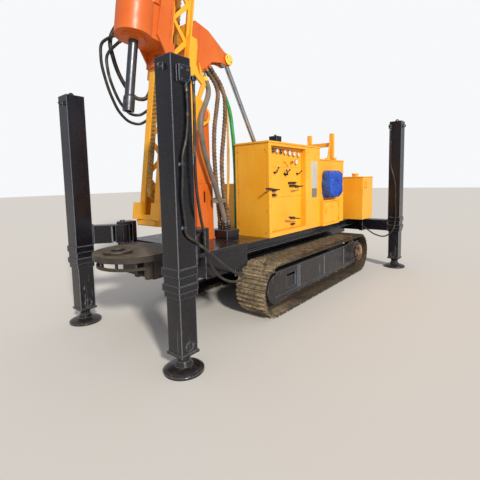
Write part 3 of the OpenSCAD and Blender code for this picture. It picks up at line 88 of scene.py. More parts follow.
def rig_point(x, y, z):
    """A point given from the front legs' line, in metres."""
    return Vector((LEG_X + x, y, z))


# Camera, from the photograph's own perspective
FOCAL_PX = 343.4
FRAME_PX = 480
CENTRE_PX = (240, 214)
CAMERA_AT = rig_point(1.991, 3.334, 1.738)
CAMERA_TURN = math.radians(39.86)
CAMERA_DIP = math.radians(5.43)
CAMERA_ROLL = math.radians(-1.26)
SENSOR_MM = 36
SIGHT = 200


def add_camera():
    data = bpy.data.cameras.new("camera")
    data.sensor_width = SENSOR_MM
    data.lens = FOCAL_PX / FRAME_PX * data.sensor_width
    data.shift_x = (FRAME_PX / 2 - CENTRE_PX[0]) / FRAME_PX
    data.shift_y = (CENTRE_PX[1] - FRAME_PX / 2) / FRAME_PX
    data.clip_end = SIGHT
    obj = bpy.data.objects.new("camera", data)
    bpy.context.collection.objects.link(obj)
    look = Vector((-math.cos(CAMERA_TURN) * math.cos(CAMERA_DIP),
                   -math.sin(CAMERA_TURN) * math.cos(CAMERA_DIP), -math.sin(CAMERA_DIP)))
    level = Vector((-math.sin(CAMERA_TURN), math.cos(CAMERA_TURN), 0))
    above = level.cross(look)
    right = level * math.cos(CAMERA_ROLL) + above * math.sin(CAMERA_ROLL)
    up = above * math.cos(CAMERA_ROLL) - level * math.sin(CAMERA_ROLL)
    turn = Matrix((right, up, -look)).transposed().to_4x4()
    obj.matrix_world = Matrix.Translation(CAMERA_AT) @ turn
    bpy.context.scene.camera = obj


add_camera()


def smooth_line(points, first_way, last_way, step=0.012):
    """A smooth curve through the points, with a vertex at least every step metres."""
    pts = [Vector(p) for p in points]
    ways = [Vector(first_way).normalized()]
    for before, at, after in zip(pts, pts[1:], pts[2:]):
        a, b = (at - before).length, (after - at).length
        ways.append(((at - before) / a * b + (after - at) / b * a) / (a + b))
    ways.append(Vector(last_way).normalized())
    line = [pts[0]]
    for p, q, v, w in zip(pts, pts[1:], ways, ways[1:]):
        gap = (q - p).length
        count = max(2, math.ceil(gap / step))
        for i in range(1, count + 1):
            t = i / count
            line.append(p * (2 * t**3 - 3 * t * t + 1) + q * (3 * t * t - 2 * t**3)
                        + v * gap * (t**3 - 2 * t * t + t) + w * gap * (t**3 - t * t))
    return line


def piece_from(name, verts, faces, smooth=False):
    mesh = bpy.data.meshes.new(name)
    mesh.from_pydata(verts, [], faces)
    if smooth:
        mesh.shade_smooth()
    obj = bpy.data.objects.new(name, mesh)
    bpy.context.collection.objects.link(obj)
    return obj


def ring_faces(rings, sides):
    """Faces of a closed tube whose vertices lie in rings, one ring after the other."""
    faces = []
    for low in range(0, (rings - 1) * sides, sides):
        high = low + sides
        for k in range(sides):
            after = (k + 1) % sides
            faces.append((low + k, low + after, high + after, high + k))
    last = (rings - 1) * sides
    return faces + [tuple(range(sides - 1, -1, -1)), tuple(range(last, last + sides))]


# Added to a line's first point, it gives a direction that isn't along the line
OFF_LINE = Vector((3, 5, 7))


def tube(name, line, radius, sides):
    """A closed tube along the line. radius(along, turn) takes a length and a share of a turn."""
    verts, along = [], 0
    across = line[1].cross(line[0] + OFF_LINE)
    for i, at in enumerate(line):
        way = (line[min(i + 1, len(line) - 1)] - line[max(i - 1, 0)]).normalized()
        across = (across - way * across.dot(way)).normalized()
        side = way.cross(across)
        along += (at - line[i - 1]).length if i else 0
        for k in range(sides):
            a = math.tau * k / sides
            verts.append(at + (across * math.cos(a) + side * math.sin(a)) * radius(along, k / sides))
    return piece_from(name, verts, ring_faces(len(line), sides), smooth=True)


def plain(r):
    return lambda along, turn: r


def wound(r, pitch, cover, rise):
    """A hose with a flat band wound round it, which covers the share cover of each pitch."""
    slope = 0.12

    def radius(along, turn):
        phase = (along / pitch + turn) % 1
        soft = min(phase, abs(cover - phase)) / slope if phase < cover else 0
        return r - rise * (1 - min(1, soft))
    return radius


def ribbed(r, pitch, rise):
    """A hose with a round rib that winds along it."""
    return lambda along, turn: r - rise * (0.5 + 0.5 * math.cos(math.tau * (along / pitch + turn)))


# Cords: radii and routes in metres. Routes of the part's own hoses repeat its points
DOWN = Vector((0, 0, -1))
LEFT = Vector((0, 1, 0))
LEG_HOSE_R, HEAD_HOSE_R, AIR_HOSE_R, BUNDLE_R, FEED_HOSE_R = 0.013, 0.017, 0.024, 0.029, 0.032
THIN_HOSE_R = 0.009
LEG_HOSE_Y = 1.073
LEG_ROUTES = {
    "leg_hose_front": [(-0.040, 0, 2.540), (-0.045, 0, 2.380), (-0.020, 0, 2.120), (0.033, 0, 1.930),
                       (0.033, 0, 1.870), (0.050, 0, 1.600), (0.027, 0, 1.375), (0.027, 0, 1.315),
                       (-0.110, 0.002, 1.190), (-0.300, -0.063, 1.080), (-0.600, -0.148, 0.880),
                       (-0.850, -0.185, 0.720), (-0.990, -0.215, 0.668), (-1.040, -0.298, 0.665)],
    "leg_hose_back": [(-0.097, 0.030, 2.600), (-0.097, 0.030, 2.350), (-0.085, 0.030, 2.010),
                      (-0.090, 0.030, 1.720), (-0.130, 0.027, 1.440), (-0.210, -0.023, 1.290),
                      (-0.310, -0.123, 1.130), (-0.430, -0.178, 0.930), (-0.590, -0.188, 0.740),
                      (-0.780, -0.188, 0.640), (-0.960, -0.200, 0.620), (-1.050, -0.235, 0.640),
                      (-1.085, -0.298, 0.665)]}
# The carrier's head: the corners of its underside, forward and up in the mast's frame
HEAD_LOW = [(0.030, 0.578), (-0.110, 0.650), (-0.230, 0.785)]
OUTLET_H = 0.035
# Outlets of the head: which of its lower faces, distance along that face, sideways
OUTLETS = {"feed_hose": (0, 0.118, 0.036), "bundle_front": (1, 0.045, 0.036),
           "bundle_back": (1, 0.125, 0.036), "green_hose": (1, 0.125, -0.036)}
DECK_ROUTES = {
    "feed_hose": [(-1.262, 0.075, 3.070), (-1.235, 0.150, 2.960), (-1.150, 0.240, 2.830),
                  (-1.040, 0.300, 2.690), (-0.950, 0.330, 2.560), (-0.908, 0.340, 2.400),
                  (-0.943, 0.330, 2.180), (-1.038, 0.312, 1.947), (-1.168, 0.322, 1.610),
                  (-1.290, 0.340, 1.150)],
    "bundle_front": [(-1.385, 0.055, 3.135), (-1.420, 0.100, 3.040), (-1.400, 0.165, 2.920),
                     (-1.310, 0.228, 2.700), (-1.215, 0.265, 2.400), (-1.185, 0.280, 2.130),
                     (-1.200, 0.280, 1.800), (-1.245, 0.266, 1.450), (-1.300, 0.240, 1.150)],
    "bundle_back": [(-1.465, 0.052, 3.175), (-1.530, 0.095, 3.050), (-1.540, 0.150, 2.900),
                    (-1.490, 0.205, 2.650), (-1.434, 0.222, 2.353), (-1.365, 0.242, 2.040),
                    (-1.345, 0.262, 1.700), (-1.420, 0.280, 1.150)],
    "green_hose": [(-1.490, -0.015, 3.160), (-1.610, 0.025, 3.030), (-1.730, 0.058, 2.780),
                   (-1.805, 0.060, 2.420), (-1.860, 0.042, 1.950), (-1.880, 0.025, 1.450),
                   (-1.880, 0.020, 0.972)]}
# Rotary head's hoses: forward, sideways and up in the mast's frame
HEAD_ROUTES = {
    "head_hose_outer": [(0.960, -0.232, 0.690), (0.975, -0.320, 0.690), (1.030, -0.430, 0.620),
                        (1.020, -0.450, 0.470), (0.945, -0.450, 0.240), (0.850, -0.450, 0.060),
                        (0.730, -0.450, -0.090), (0.600, -0.435, -0.165), (0.490, -0.395, -0.165),
                        (0.434, -0.310, -0.105), (0.430, -0.200, -0.050)],
    "head_hose_inner": [(0.900, -0.232, 0.660), (0.930, -0.310, 0.610), (0.975, -0.395, 0.500),
                        (0.950, -0.400, 0.330), (0.860, -0.400, 0.140), (0.740, -0.398, -0.010),
                        (0.620, -0.390, -0.080), (0.520, -0.355, -0.065), (0.473, -0.285, -0.010),
                        (0.470, -0.200, 0.030)],
    "air_hose": [(0.880, -0.232, 0.900), (0.905, -0.320, 0.870), (0.950, -0.400, 0.700),
                 (0.890, -0.400, 0.480), (0.790, -0.400, 0.310), (0.685, -0.370, 0.180),
                 (0.590, -0.330, 0.110), (0.505, -0.295, 0.130), (0.460, -0.275, 0.230),
                 (0.450, -0.270, 0.360)]}
# Ends that get a crimped sleeve: body, radius, end point, and the point some steps further in
hose_ends = []
END_STEPS = 4
# Smooth lines of the hoses to the deck, by name
deck_lines = {}


def keep_ends(line, r, first_body, last_body):
    """Notes both ends of a hose for its crimped sleeves."""
    hose_ends.append((first_body, r, line[0], line[END_STEPS]))
    hose_ends.append((last_body, r, line[-1], line[-1 - END_STEPS]))


def add_hose(name, slot, r, radius, line, sides, still, moving):
    """One hose between two bodies along the line: it hides the part's own hose and notes both ends for their
    sleeves.
    """
    obj = tube(name + "_cord", line, radius, sides)
    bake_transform(obj)
    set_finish(obj, slot)
    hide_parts(name)
    keep_ends(line, r, moving, still)


def add_leg_hoses():
    for name, route in LEG_ROUTES.items():
        points = [rig_point(x, LEG_HOSE_Y + y, z) for x, y, z in route]
        line = smooth_line(points, DOWN, -LEFT)
        add_hose(name, "hose_rubber", LEG_HOSE_R, plain(LEG_HOSE_R), line, 14, "machine", "front_left_arm")


def outlet(face, along, y):
    """Where a hose leaves the carrier's head, and the way that it points."""
    a, b = (Vector((n, 0, t)) for n, t in HEAD_LOW[face:face + 2])
    run = (b - a).normalized()
    out = Vector((-run.z, 0, run.x))
    at = a + run * along + out * OUTLET_H
    return mast_point(at.x, y, at.z), FORWARD * out.x + UP_MAST * out.z


# Outside of each hose to the deck: slot, radius, form, step along the line, sides
DECK_SKINS = {"feed_hose": ("hose_wrap", FEED_HOSE_R, plain(FEED_HOSE_R), 0.012, 20),
              "bundle_front": ("hose_wrap", BUNDLE_R, wound(BUNDLE_R, 0.044, 0.70, 0.006), 0.007, 20),
              "bundle_back": ("hose_wrap", BUNDLE_R, wound(BUNDLE_R, 0.050, 0.74, 0.006), 0.007, 20),
              "green_hose": ("hose_green", BUNDLE_R, ribbed(BUNDLE_R, 0.017, 0.003), 0.0045, 18)}


def add_deck_hoses():
    for name, route in DECK_ROUTES.items():
        slot, r, radius, step, sides = DECK_SKINS[name]
        start, way = outlet(*OUTLETS[name])
        points = [start] + [rig_point(*p) for p in route]
        deck_lines[name] = line = smooth_line(points, way, DOWN, step)
        add_hose(name, slot, r, radius, line, sides, "machine", "carrier")


# Slim yellow hoses of the scene alone start just off the head's rear face
THIN_FACE = 1
THIN_GAP = 0.001
# Distance along that face, sideways, and route
THIN_HOSES = {
    "thin_hose_front": (0.085, 0.004, [
        (-1.500, 0.040, 3.130), (-1.570, 0.075, 3.000), (-1.610, 0.115, 2.780), (-1.590, 0.150, 2.400),
        (-1.545, 0.180, 1.950), (-1.490, 0.215, 1.500), (-1.452, 0.240, 1.108)]),
    "thin_hose_back": (0.165, -0.002, [
        (-1.530, 0.015, 3.120), (-1.610, 0.045, 2.990), (-1.665, 0.080, 2.760), (-1.655, 0.110, 2.400),
        (-1.625, 0.135, 1.950), (-1.550, 0.170, 1.480), (-1.458, 0.205, 1.108)])}


def add_thin_hoses():
    """Two slim hoses between the bundles, from the carrier's head down to the manifold."""
    for name, (along, face_y, route) in THIN_HOSES.items():
        start, way = outlet(THIN_FACE, along, face_y)
        start = start - way * (OUTLET_H - THIN_GAP)
        points = [start] + [rig_point(*p) for p in route]
        line = smooth_line(points, way, DOWN)
        obj = tube(name, line, plain(THIN_HOSE_R), 10)
        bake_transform(obj)
        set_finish(obj, "hose_rubber")


# The rear left leg's hose, of the scene alone: from its valve block down and across to the cross tube
REAR_PORT = (-4.938, 1.304, 2.660)
REAR_ROUTE = [REAR_PORT, (-4.938, 1.308, 2.573), (-4.938, 1.318, 2.269), (-4.938, 1.330, 1.948),
              (-4.938, 1.378, 1.780), (-4.938, 1.408, 1.640), (-4.938, 1.422, 1.318), (-4.936, 1.424, 0.934),
              (-4.915, 1.370, 0.710), (-4.880, 1.250, 0.615), (-4.855, 1.080, 0.640), (-4.862, 0.920, 0.730),
              (-4.925, 0.775, 0.800)]
# The way that the hose runs at its last point
REAR_LAST_WAY = (-0.8, -0.6, 0)


def add_rear_leg_hose():
    """A hose down the rear left leg's front face, and across to the rear cross tube."""
    points = [rig_point(*p) for p in REAR_ROUTE]
    line = smooth_line(points, DOWN, REAR_LAST_WAY)
    obj = tube("rear_leg_hose", line, plain(LEG_HOSE_R), 12)
    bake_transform(obj)
    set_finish(obj, "hose_rubber")
    keep_ends(line, LEG_HOSE_R, "rear_left_arm", "machine")


def add_head_hoses():
    for name, route in HEAD_ROUTES.items():
        points = [mast_point(*p) for p in route]
        r = AIR_HOSE_R if name == "air_hose" else HEAD_HOSE_R
        line = smooth_line(points, -LEFT, UP_MAST if name == "air_hose" else LEFT)
        add_hose(name, "hose_rubber", r, plain(r), line, 16, "mast", "head")


add_leg_hoses()
add_deck_hoses()
add_thin_hoses()
add_rear_leg_hose()
add_head_hoses()


# Shader building blocks
BEVEL_SAMPLES = 4


class Shader:
    """A node material with short calls for the nodes that the finishes share."""

    def __init__(self, name):
        self.mat = bpy.data.materials.new(name)
        self.mat.use_nodes = True
        self.tree = self.mat.node_tree
        self.bsdf = self.tree.nodes["Principled BSDF"]
        self.coords = self.tree.nodes.new("ShaderNodeTexCoord").outputs["Object"]

    def add(self, kind, **sockets):
        node = self.tree.nodes.new(kind)
        for name, value in sockets.items():
            self.put(node.inputs[name.replace("_", " ")], value)
        return node

    def put(self, socket, value):
        if isinstance(value, bpy.types.NodeSocket):
            self.tree.links.new(value, socket)
        else:
            socket.default_value = value

    def stretch(self, scale):
        node = self.add("ShaderNodeMapping", Vector=self.coords, Scale=scale)
        return node.outputs["Vector"]

    def noise(self, scale, detail=4.0, rough=0.55, at=None, distort=0.0):
        node = self.add("ShaderNodeTexNoise", Vector=at or self.coords, Scale=scale, Detail=detail,
                        Roughness=rough, Distortion=distort)
        return node.outputs["Fac"]

    def ramp(self, value, low, high, start=0.0, end=1.0):
        node = self.add("ShaderNodeMapRange", Value=value)
        for name, v in (("From Min", low), ("From Max", high), ("To Min", start), ("To Max", end)):
            node.inputs[name].default_value = v
        return node.outputs["Result"]

    def maths(self, operation, a, b):
        node = self.tree.nodes.new("ShaderNodeMath")
        node.operation = operation
        self.put(node.inputs[0], a)
        self.put(node.inputs[1], b)
        return node.outputs[0]

    def times(self, a, b):
        return self.maths("MULTIPLY", a, b)

    def mix(self, share, a, b):
        node = self.tree.nodes.new("ShaderNodeMix")
        node.data_type = "RGBA"
        self.put(node.inputs[0], share)
        self.put(node.inputs[6], a)
        self.put(node.inputs[7], b)
        return node.outputs[2]

    def normal(self):
        return self.tree.nodes.new("ShaderNodeNewGeometry").outputs["Normal"]

    def rounded(self, radius):
        """The normal of a surface whose sharp edges are rounded off."""
        bevel = self.add("ShaderNodeBevel", Radius=radius)
        bevel.samples = BEVEL_SAMPLES
        return bevel.outputs["Normal"]

    def along(self, vector, axis, both_ways=False):
        """A vector's length along the axis X, Y or Z, without its sign if it counts both ways."""
        length = self.add("ShaderNodeSeparateXYZ", Vector=vector).outputs[axis]
        return self.maths("ABSOLUTE", length, 0.0) if both_ways else length

    def facing_up(self):
        """1 on faces that look up, 0 on upright faces and below."""
        return self.ramp(self.along(self.normal(), "Z"), 0.15, 0.9)

    def facing_sideways(self):
        """1 on faces that look left or right, 0 on the others."""
        return self.ramp(self.along(self.normal(), "Y", both_ways=True), 0.6, 0.9)

    def ahead(self, low, high):
        """0 at x = low and 1 at x = high, which is nearer the machine's front."""
        return self.ramp(self.along(self.coords, "X"), low, high)

    def height(self, low, high):
        """0 at the height low and 1 at the height high, in metres above the ground."""
        return self.ramp(self.along(self.coords, "Z"), low, high)

    def edge(self, radius):
        """1 along sharp edges and 0 on flat faces."""
        dot = self.tree.nodes.new("ShaderNodeVectorMath")
        dot.operation = "DOT_PRODUCT"
        self.put(dot.inputs[0], self.rounded(radius))
        self.put(dot.inputs[1], self.normal())
        return self.ramp(dot.outputs["Value"], 0.995, 0.93)

    def upright_edge(self, radius):
        """1 along sharp upright edges, such as a leg's corners, and 0 elsewhere."""
        level = self.ramp(self.along(self.rounded(radius), "Z", both_ways=True), 0.25, 0.05)
        return self.times(self.edge(radius), level)

    def bump(self, height, strength, distance, below=None):
        node = self.add("ShaderNodeBump", Height=height, Strength=strength, Distance=distance)
        if below:
            self.put(node.inputs["Normal"], below)
        return node.outputs["Normal"]

    def set(self, **sockets):
        for name, value in sockets.items():
            self.put(self.bsdf.inputs[name.replace("_", " ")], value)


def rgb(r, g, b):
    """A colour given as it looks on a screen, 0 to 255, turned to linear light."""
    def lin(c):
        c /= 255
        return c / 12.92 if c <= 0.04045 else ((c + 0.055) / 1.055) ** 2.4
    return (lin(r), lin(g), lin(b), 1)


DUST = rgb(158, 136, 104)
RUST, DARK_RUST = rgb(112, 62, 34), rgb(54, 44, 36)
BARE_STEEL = rgb(70, 58, 50)
GRIME = rgb(84, 58, 34)
SPECKLE = rgb(90, 60, 30)
SCRATCH = rgb(150, 146, 138)
# Pale blue-grey of a painted highlight along sharp edges
EDGE_HIGHLIGHT_COLOUR = rgb(168, 176, 190)
OILY_DIRT = rgb(60, 46, 34)
DRY_SOIL, PALE_SOIL = rgb(112, 88, 62), rgb(188, 160, 122)
# Darker soil colours: painted shade on the tracks behind their front bend
SHADE_DARK_SOIL, SHADE_PALE_SOIL = rgb(52, 44, 34), rgb(104, 86, 60)
# How far a worn edge, and the painted highlight along an edge, reaches in from its corner, in metres
EDGE_REACH = 0.012
# Heights in metres: scratches start under the first and are all there at the second
SCRATCHED_FROM, SCRATCHED_FULLY = 0.80, 0.45
# The soil on the tracks is darkened as painted shade further back than the first distance behind their front end,
# and keeps its own colour ahead of the second
SHADE_BACK, SHADE_FRONT = 0.95, 0.25


def old_colour(s, colour, faded, grime):
    """Paint with faded patches, fine speckle and streaks of grime that run down."""
    base = s.mix(s.ramp(s.noise(1.3, 3), 0.35, 0.7), colour, faded)
    speckle = s.ramp(s.noise(38, 6, 0.7), 0.45, 0.75)
    base = s.mix(s.times(speckle, 0.16), base, SPECKLE)
    streaks = s.noise(5.5, 5, 0.6, at=s.stretch((3.2, 3.2, 0.28)))
    return s.mix(s.ramp(streaks, 0.56, 0.78, 0, grime), base, GRIME)


def bare_places(s, edge, wear):
    """Where the paint is off: chips anywhere, and stretches of the edges."""
    chips = s.ramp(s.noise(21, 8, 0.75, distort=0.6), 0.69, 0.72)
    worn = s.times(edge, s.ramp(s.noise(9, 6, 0.7), 0.5, 0.62))
    return s.times(s.maths("MAXIMUM", chips, worn), wear)


def scratched(s, base, amount):
    """Thin upright scratches, in patches low on the machine."""
    lines = s.ramp(s.noise(46, 3, 0.5, at=s.stretch((1.0, 1.0, 0.07)), distort=0.8), 0.66, 0.7)
    patches = s.ramp(s.noise(2.6, 3), 0.42, 0.56)
    where = s.times(patches, s.height(SCRATCHED_FROM, SCRATCHED_FULLY))
    return s.mix(s.times(s.times(lines, where), amount), base, SCRATCH)


def dust_places(s, dusty_below, dust):
    """Where dust lies: on top of things, and on everything low down."""
    top = s.times(s.facing_up(), s.ramp(s.noise(6, 6, 0.7), 0.3, 0.6))
    thin_out = s.ramp(s.height(0, dusty_below), 1.0, 0.0)
    low = s.times(thin_out, s.ramp(s.noise(4.5, 7, 0.72), 0.42, 0.66))
    return s.times(s.maths("MAXIMUM", top, low), dust)


def paint(name, colour, faded, dust=0.5, wear=0.5, gloss=0.35, grime=0.4, dusty_below=1.3, scratches=0.0,
          round_edge=0.004, grain=0.22, rust=RUST, bare_steel=BARE_STEEL, shine=0.5, painted_edge_highlight=0.0):
    """Old machine paint: faded and streaked, chipped, worn on its edges, and dusty on top and low down. It can
    also carry a painted highlight along its edges, strongest on upright corners.
    """
    s = Shader(name)
    base = old_colour(s, colour, faded, grime)
    edge = s.edge(EDGE_REACH)
    bare = bare_places(s, edge, wear)
    base = s.mix(bare, base, s.mix(s.noise(30, 2), rust, bare_steel))
    # Painted highlight: a pale line along sharp edges, strongest on upright corners, where light would shine on a
    # rounded edge
    if painted_edge_highlight:
        highlight_share = s.maths("MAXIMUM", s.times(edge, 0.35), s.upright_edge(EDGE_REACH))
        base = s.mix(s.times(highlight_share, painted_edge_highlight), base, EDGE_HIGHLIGHT_COLOUR)
    if scratches:
        base = scratched(s, base, scratches)
    dirt = dust_places(s, dusty_below, dust)
    base = s.mix(dirt, base, DUST)
    uneven = s.ramp(s.noise(14, 4), 0.3, 0.7, gloss, gloss + 0.18)
    rough = s.maths("ADD", uneven, s.times(dirt, 0.35))
    sheet = s.bump(s.noise(2.1, 2), 0.25, 0.02, s.rounded(round_edge))
    fine = s.bump(s.maths("SUBTRACT", s.noise(60, 5, 0.6), s.times(bare, 0.6)), grain, 0.002, sheet)
    s.set(Base_Color=base, Roughness=rough, Normal=fine)
    s.bsdf.inputs["Specular IOR Level"].default_value = shine
    s.bsdf.inputs["Coat Weight"].default_value = 0.3 * shine
    s.bsdf.inputs["Coat Roughness"].default_value = 0.3
    return s.mat


def dry_mud(name, steel, cover, dark=DRY_SOIL, pale=PALE_SOIL, front=None, rust=RUST):
    """Cast steel under dry soil. Given front, the soil is darker far behind that x, as painted shade, and thin on
    the sides.
    """
    s = Shader(name)
    crust = s.ramp(s.noise(7, 8, 0.7), 0.5 - cover * 0.25, 0.58)
    lumps = s.noise(26, 7, 0.7)
    soil = s.mix(s.ramp(lumps, 0.35, 0.65), dark, pale)
    if front is not None:
        # Painted shade: the soil darkens towards the rear, where the console's shade falls on the upper run
        shaded_soil = s.mix(s.ramp(lumps, 0.35, 0.65), SHADE_DARK_SOIL, SHADE_PALE_SOIL)
        soil = s.mix(s.ahead(front - SHADE_BACK, front - SHADE_FRONT), shaded_soil, soil)
        bare_side = s.times(s.facing_sideways(), 0.9)
        crust = s.times(crust, s.maths("SUBTRACT", 1.0, bare_side))
    metal = s.mix(s.ramp(s.noise(16, 6), 0.4, 0.65), steel, rust)
    relief = s.bump(s.maths("ADD", crust, s.times(lumps, 0.7)), 0.7, 0.008)
    s.set(Base_Color=s.mix(crust, metal, soil), Roughness=s.ramp(crust, 0, 1, 0.5, 0.95), Normal=relief)
    s.bsdf.inputs["Metallic"].default_value = 0.0
    return s.mat


def bare_metal(name, colour, rough, dirt):
    """Bare steel with fine marks that run up and down, and some oily dirt."""
    s = Shader(name)
    grime = s.ramp(s.noise(9, 7, 0.7), 0.5, 0.68, 0, dirt)
    drawn = s.noise(90, 3, at=s.stretch((1, 1, 0.15)))
    s.set(Base_Color=s.mix(grime, colour, OILY_DIRT), Normal=s.bump(drawn, 0.12, 0.001),
          Roughness=s.ramp(s.noise(22, 5), 0.3, 0.7, rough, rough + 0.15))
    s.bsdf.inputs["Metallic"].default_value = 1.0
    return s.mat


def rubber(name, colour, dusty, gloss, dust=0.5):
    """Rubber or plastic hose: dull where dust sits, with scuffs."""
    s = Shader(name)
    patches = s.ramp(s.noise(7, 5, 0.65), 0.4, 0.68)
    base = s.mix(patches, colour, dusty)
    top = s.times(s.facing_up(), s.ramp(s.noise(18, 5, 0.7), 0.3, 0.6))
    scuffs = s.ramp(s.noise(11, 6, 0.7), 0.55, 0.7)
    dirt = s.times(s.maths("MAXIMUM", top, scuffs), dust)
    s.set(Base_Color=s.mix(dirt, base, DUST), Roughness=s.ramp(dirt, 0, 1, gloss, 0.9),
          Normal=s.bump(s.noise(120, 4, 0.6), 0.3, 0.0012))
    return s.mat


YELLOW = paint("yellow_paint", rgb(252, 172, 30), rgb(254, 188, 52), dust=0.3, wear=0.6, grime=0.14)
ORANGE = paint("orange_paint", rgb(214, 96, 20), rgb(226, 116, 32), dust=0.3, wear=0.6, grime=0.3)
# Black paint: its blue cast is a painted reflection of a blue sky, and its pale edge line is a painted highlight
BLACK = paint("black_paint", rgb(10, 13, 20), rgb(20, 24, 34), dust=0.07, wear=0.3, gloss=0.12, grime=0.05,
              dusty_below=0.75, scratches=0.5, round_edge=0.014, grain=0.04, rust=rgb(66, 62, 58),
              bare_steel=rgb(126, 124, 118), shine=0.36, painted_edge_highlight=0.62)
TABLE = paint("table_paint", rgb(24, 22, 21), rgb(44, 38, 32), dust=0.36, wear=0.5, gloss=0.5, grime=0.3)
CHAIN = paint("chain_paint", rgb(214, 160, 50), rgb(120, 92, 46), dust=0.4, wear=0.9, gloss=0.45, grime=0.5)
TRACK = dry_mud("track_mud", rgb(24, 23, 23), 0.9, dark=rgb(104, 88, 66), pale=rgb(204, 182, 146),
                front=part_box("track_left")[1].x, rust=DARK_RUST)
WHEEL = dry_mud("wheel_grease", rgb(34, 31, 29), 0.25)
ENGINE = paint("engine_paint", rgb(80, 84, 84), rgb(98, 100, 98), dust=0.4, wear=0.4, gloss=0.5)
LEVER = paint("lever_paint", rgb(18, 18, 18), rgb(30, 30, 30), dust=0.2, wear=0.6, gloss=0.4, grime=0.1)
CHROME = bare_metal("rod_chrome", rgb(188, 190, 196), 0.14, 0.5)
SPINDLE = bare_metal("spindle_steel", rgb(96, 98, 104), 0.3, 0.5)
RING = bare_metal("ring_steel", rgb(120, 112, 104), 0.45, 0.7)
BLUE = paint("blue_sheet", rgb(8, 70, 180), rgb(22, 98, 208), dust=0.12, wear=0.0, gloss=0.16, grime=0.08)
# Soil packed on the upper runs: its darker tone is painted shade from the console above
SHADED_TOP_SOIL = dry_mud("shaded_dry_soil", rgb(86, 74, 56), 2.0, dark=rgb(70, 60, 44), pale=rgb(132, 114, 84))
ROPE = rubber("tie_rope", rgb(150, 134, 110), rgb(112, 98, 80), 0.8, 0.4)
HOSE_BLACK = rubber("hose_rubber", rgb(24, 24, 26), rgb(48, 45, 42), 0.42, 0.35)
HOSE_WRAP = rubber("hose_wrap", rgb(88, 64, 44), rgb(134, 104, 74), 0.6, 0.35)
HOSE_SLEEVE = rubber("hose_sleeve", rgb(96, 90, 84), rgb(126, 118, 106), 0.5, 0.5)
CAP_YELLOW = paint("cap_yellow", rgb(250, 206, 70), rgb(252, 216, 96), dust=0.2, wear=0.4, grime=0.2)
HOSE_YELLOW = rubber("hose_yellow", rgb(214, 160, 44), rgb(172, 128, 52), 0.4, 0.4)
HOSE_GREEN = rubber("hose_green", rgb(30, 142, 70), rgb(52, 172, 96), 0.25, 0.25)

SLOT_FINISH = {"yellow_paint": YELLOW, "orange_paint": ORANGE, "black_paint": BLACK, "table_steel": TABLE,
               "track_steel": TRACK, "wheel_steel": WHEEL, "rod_chrome": CHROME, "spindle_steel": SPINDLE,
               "engine_grey": ENGINE, "ring_steel": RING, "lever_black": LEVER, "blue_sheet": BLUE,
               "chain_yellow": CHAIN, "hose_rubber": HOSE_BLACK, "hose_wrap": HOSE_WRAP,
               "hose_green": HOSE_GREEN}
# Cords whose colour isn't their slot's
CORD_FINISH = {"thin_hose_front": HOSE_YELLOW, "thin_hose_back": HOSE_YELLOW, "feed_hose_cord": HOSE_SLEEVE}


def dress_nodes():
    """Every CAD node and cord gets its finish, by the slot that it has."""
    for part in frame["record"]["subparts"]:
        obj = nodes[part["node"]]
        obj.data.materials.clear()
        obj.data.materials.append(SLOT_FINISH[part["material_slot"]])
    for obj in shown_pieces():
        if "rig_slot" in obj:
            obj.data.materials.append(CORD_FINISH.get(obj.name) or SLOT_FINISH[obj["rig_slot"]])


dress_nodes()


# Details
BOX_FACES = [(0, 1, 3, 2), (4, 6, 7, 5), (0, 4, 5, 1), (2, 3, 7, 6), (0, 2, 6, 4), (1, 5, 7, 3)]


class Build:
    """Gathers small solids into one piece, each with its own finish."""

    def __init__(self, name):
        self.name = name
        self.bm = bmesh.new()
        self.finishes = []

    def _finish(self, faces, finish, smooth=False):
        if finish not in self.finishes:
            self.finishes.append(finish)
        for face in faces:
            face.material_index = self.finishes.index(finish)
            face.smooth = smooth

    def _add(self, verts, faces, finish, smooth=False):
        made = [self.bm.verts.new(v) for v in verts]
        self._finish([self.bm.faces.new([made[i] for i in f]) for f in faces], finish, smooth)

    def box(self, low, high, finish, turn=None):
        low, high = Vector(low), Vector(high)
        centre, half = (low + high) / 2, (high - low) / 2
        turn = turn or Matrix.Identity(3)
        verts = [centre + turn @ Vector((x * half.x, y * half.y, z * half.z))
                 for x in (-1, 1) for y in (-1, 1) for z in (-1, 1)]
        self._add(verts, BOX_FACES, finish)

    def lathe(self, at, way, outline, finish, sides=20, smooth=False):
        """A closed round solid: outline holds (distance along way, radius) pairs."""
        way = Vector(way).normalized()
        across = way.orthogonal().normalized()
        side = way.cross(across)
        verts = [Vector(at) + way * d + (across * math.cos(a) + side * math.sin(a)) * r
                 for d, r in outline for a in (math.tau * k / sides for k in range(sides))]
        self._add(verts, ring_faces(len(outline), sides), finish, smooth)

    def rod(self, a, b, r, finish, sides=12):
        a, b = Vector(a), Vector(b)
        self.lathe(a, b - a, [(0, r), ((b - a).length, r)], finish, sides)

    def bolt(self, at, way, size, finish):
        """A hexagon head with a bevelled top, on its washer. size is about the head's width."""
        washer_r, washer_h = size * 0.72, size * 0.14
        head_r, top_r = size * 0.55, size * 0.44
        bevel_h, top_h = size * 0.62, size * 0.72
        self.lathe(at, way, [(-0.001, washer_r), (washer_h, washer_r)], finish, 16)
        self.lathe(at, way, [(washer_h, head_r), (bevel_h, head_r), (top_h, top_r)], finish, 6)

    def done(self, body, slot):
        mesh = bpy.data.meshes.new(self.name)
        self.bm.normal_update()
        self.bm.to_mesh(mesh)
        self.bm.free()
        obj = bpy.data.objects.new(self.name, mesh)
        bpy.context.collection.objects.link(obj)
        for finish in self.finishes:
            mesh.materials.append(finish)
        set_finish(obj, slot)
        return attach(obj, body)


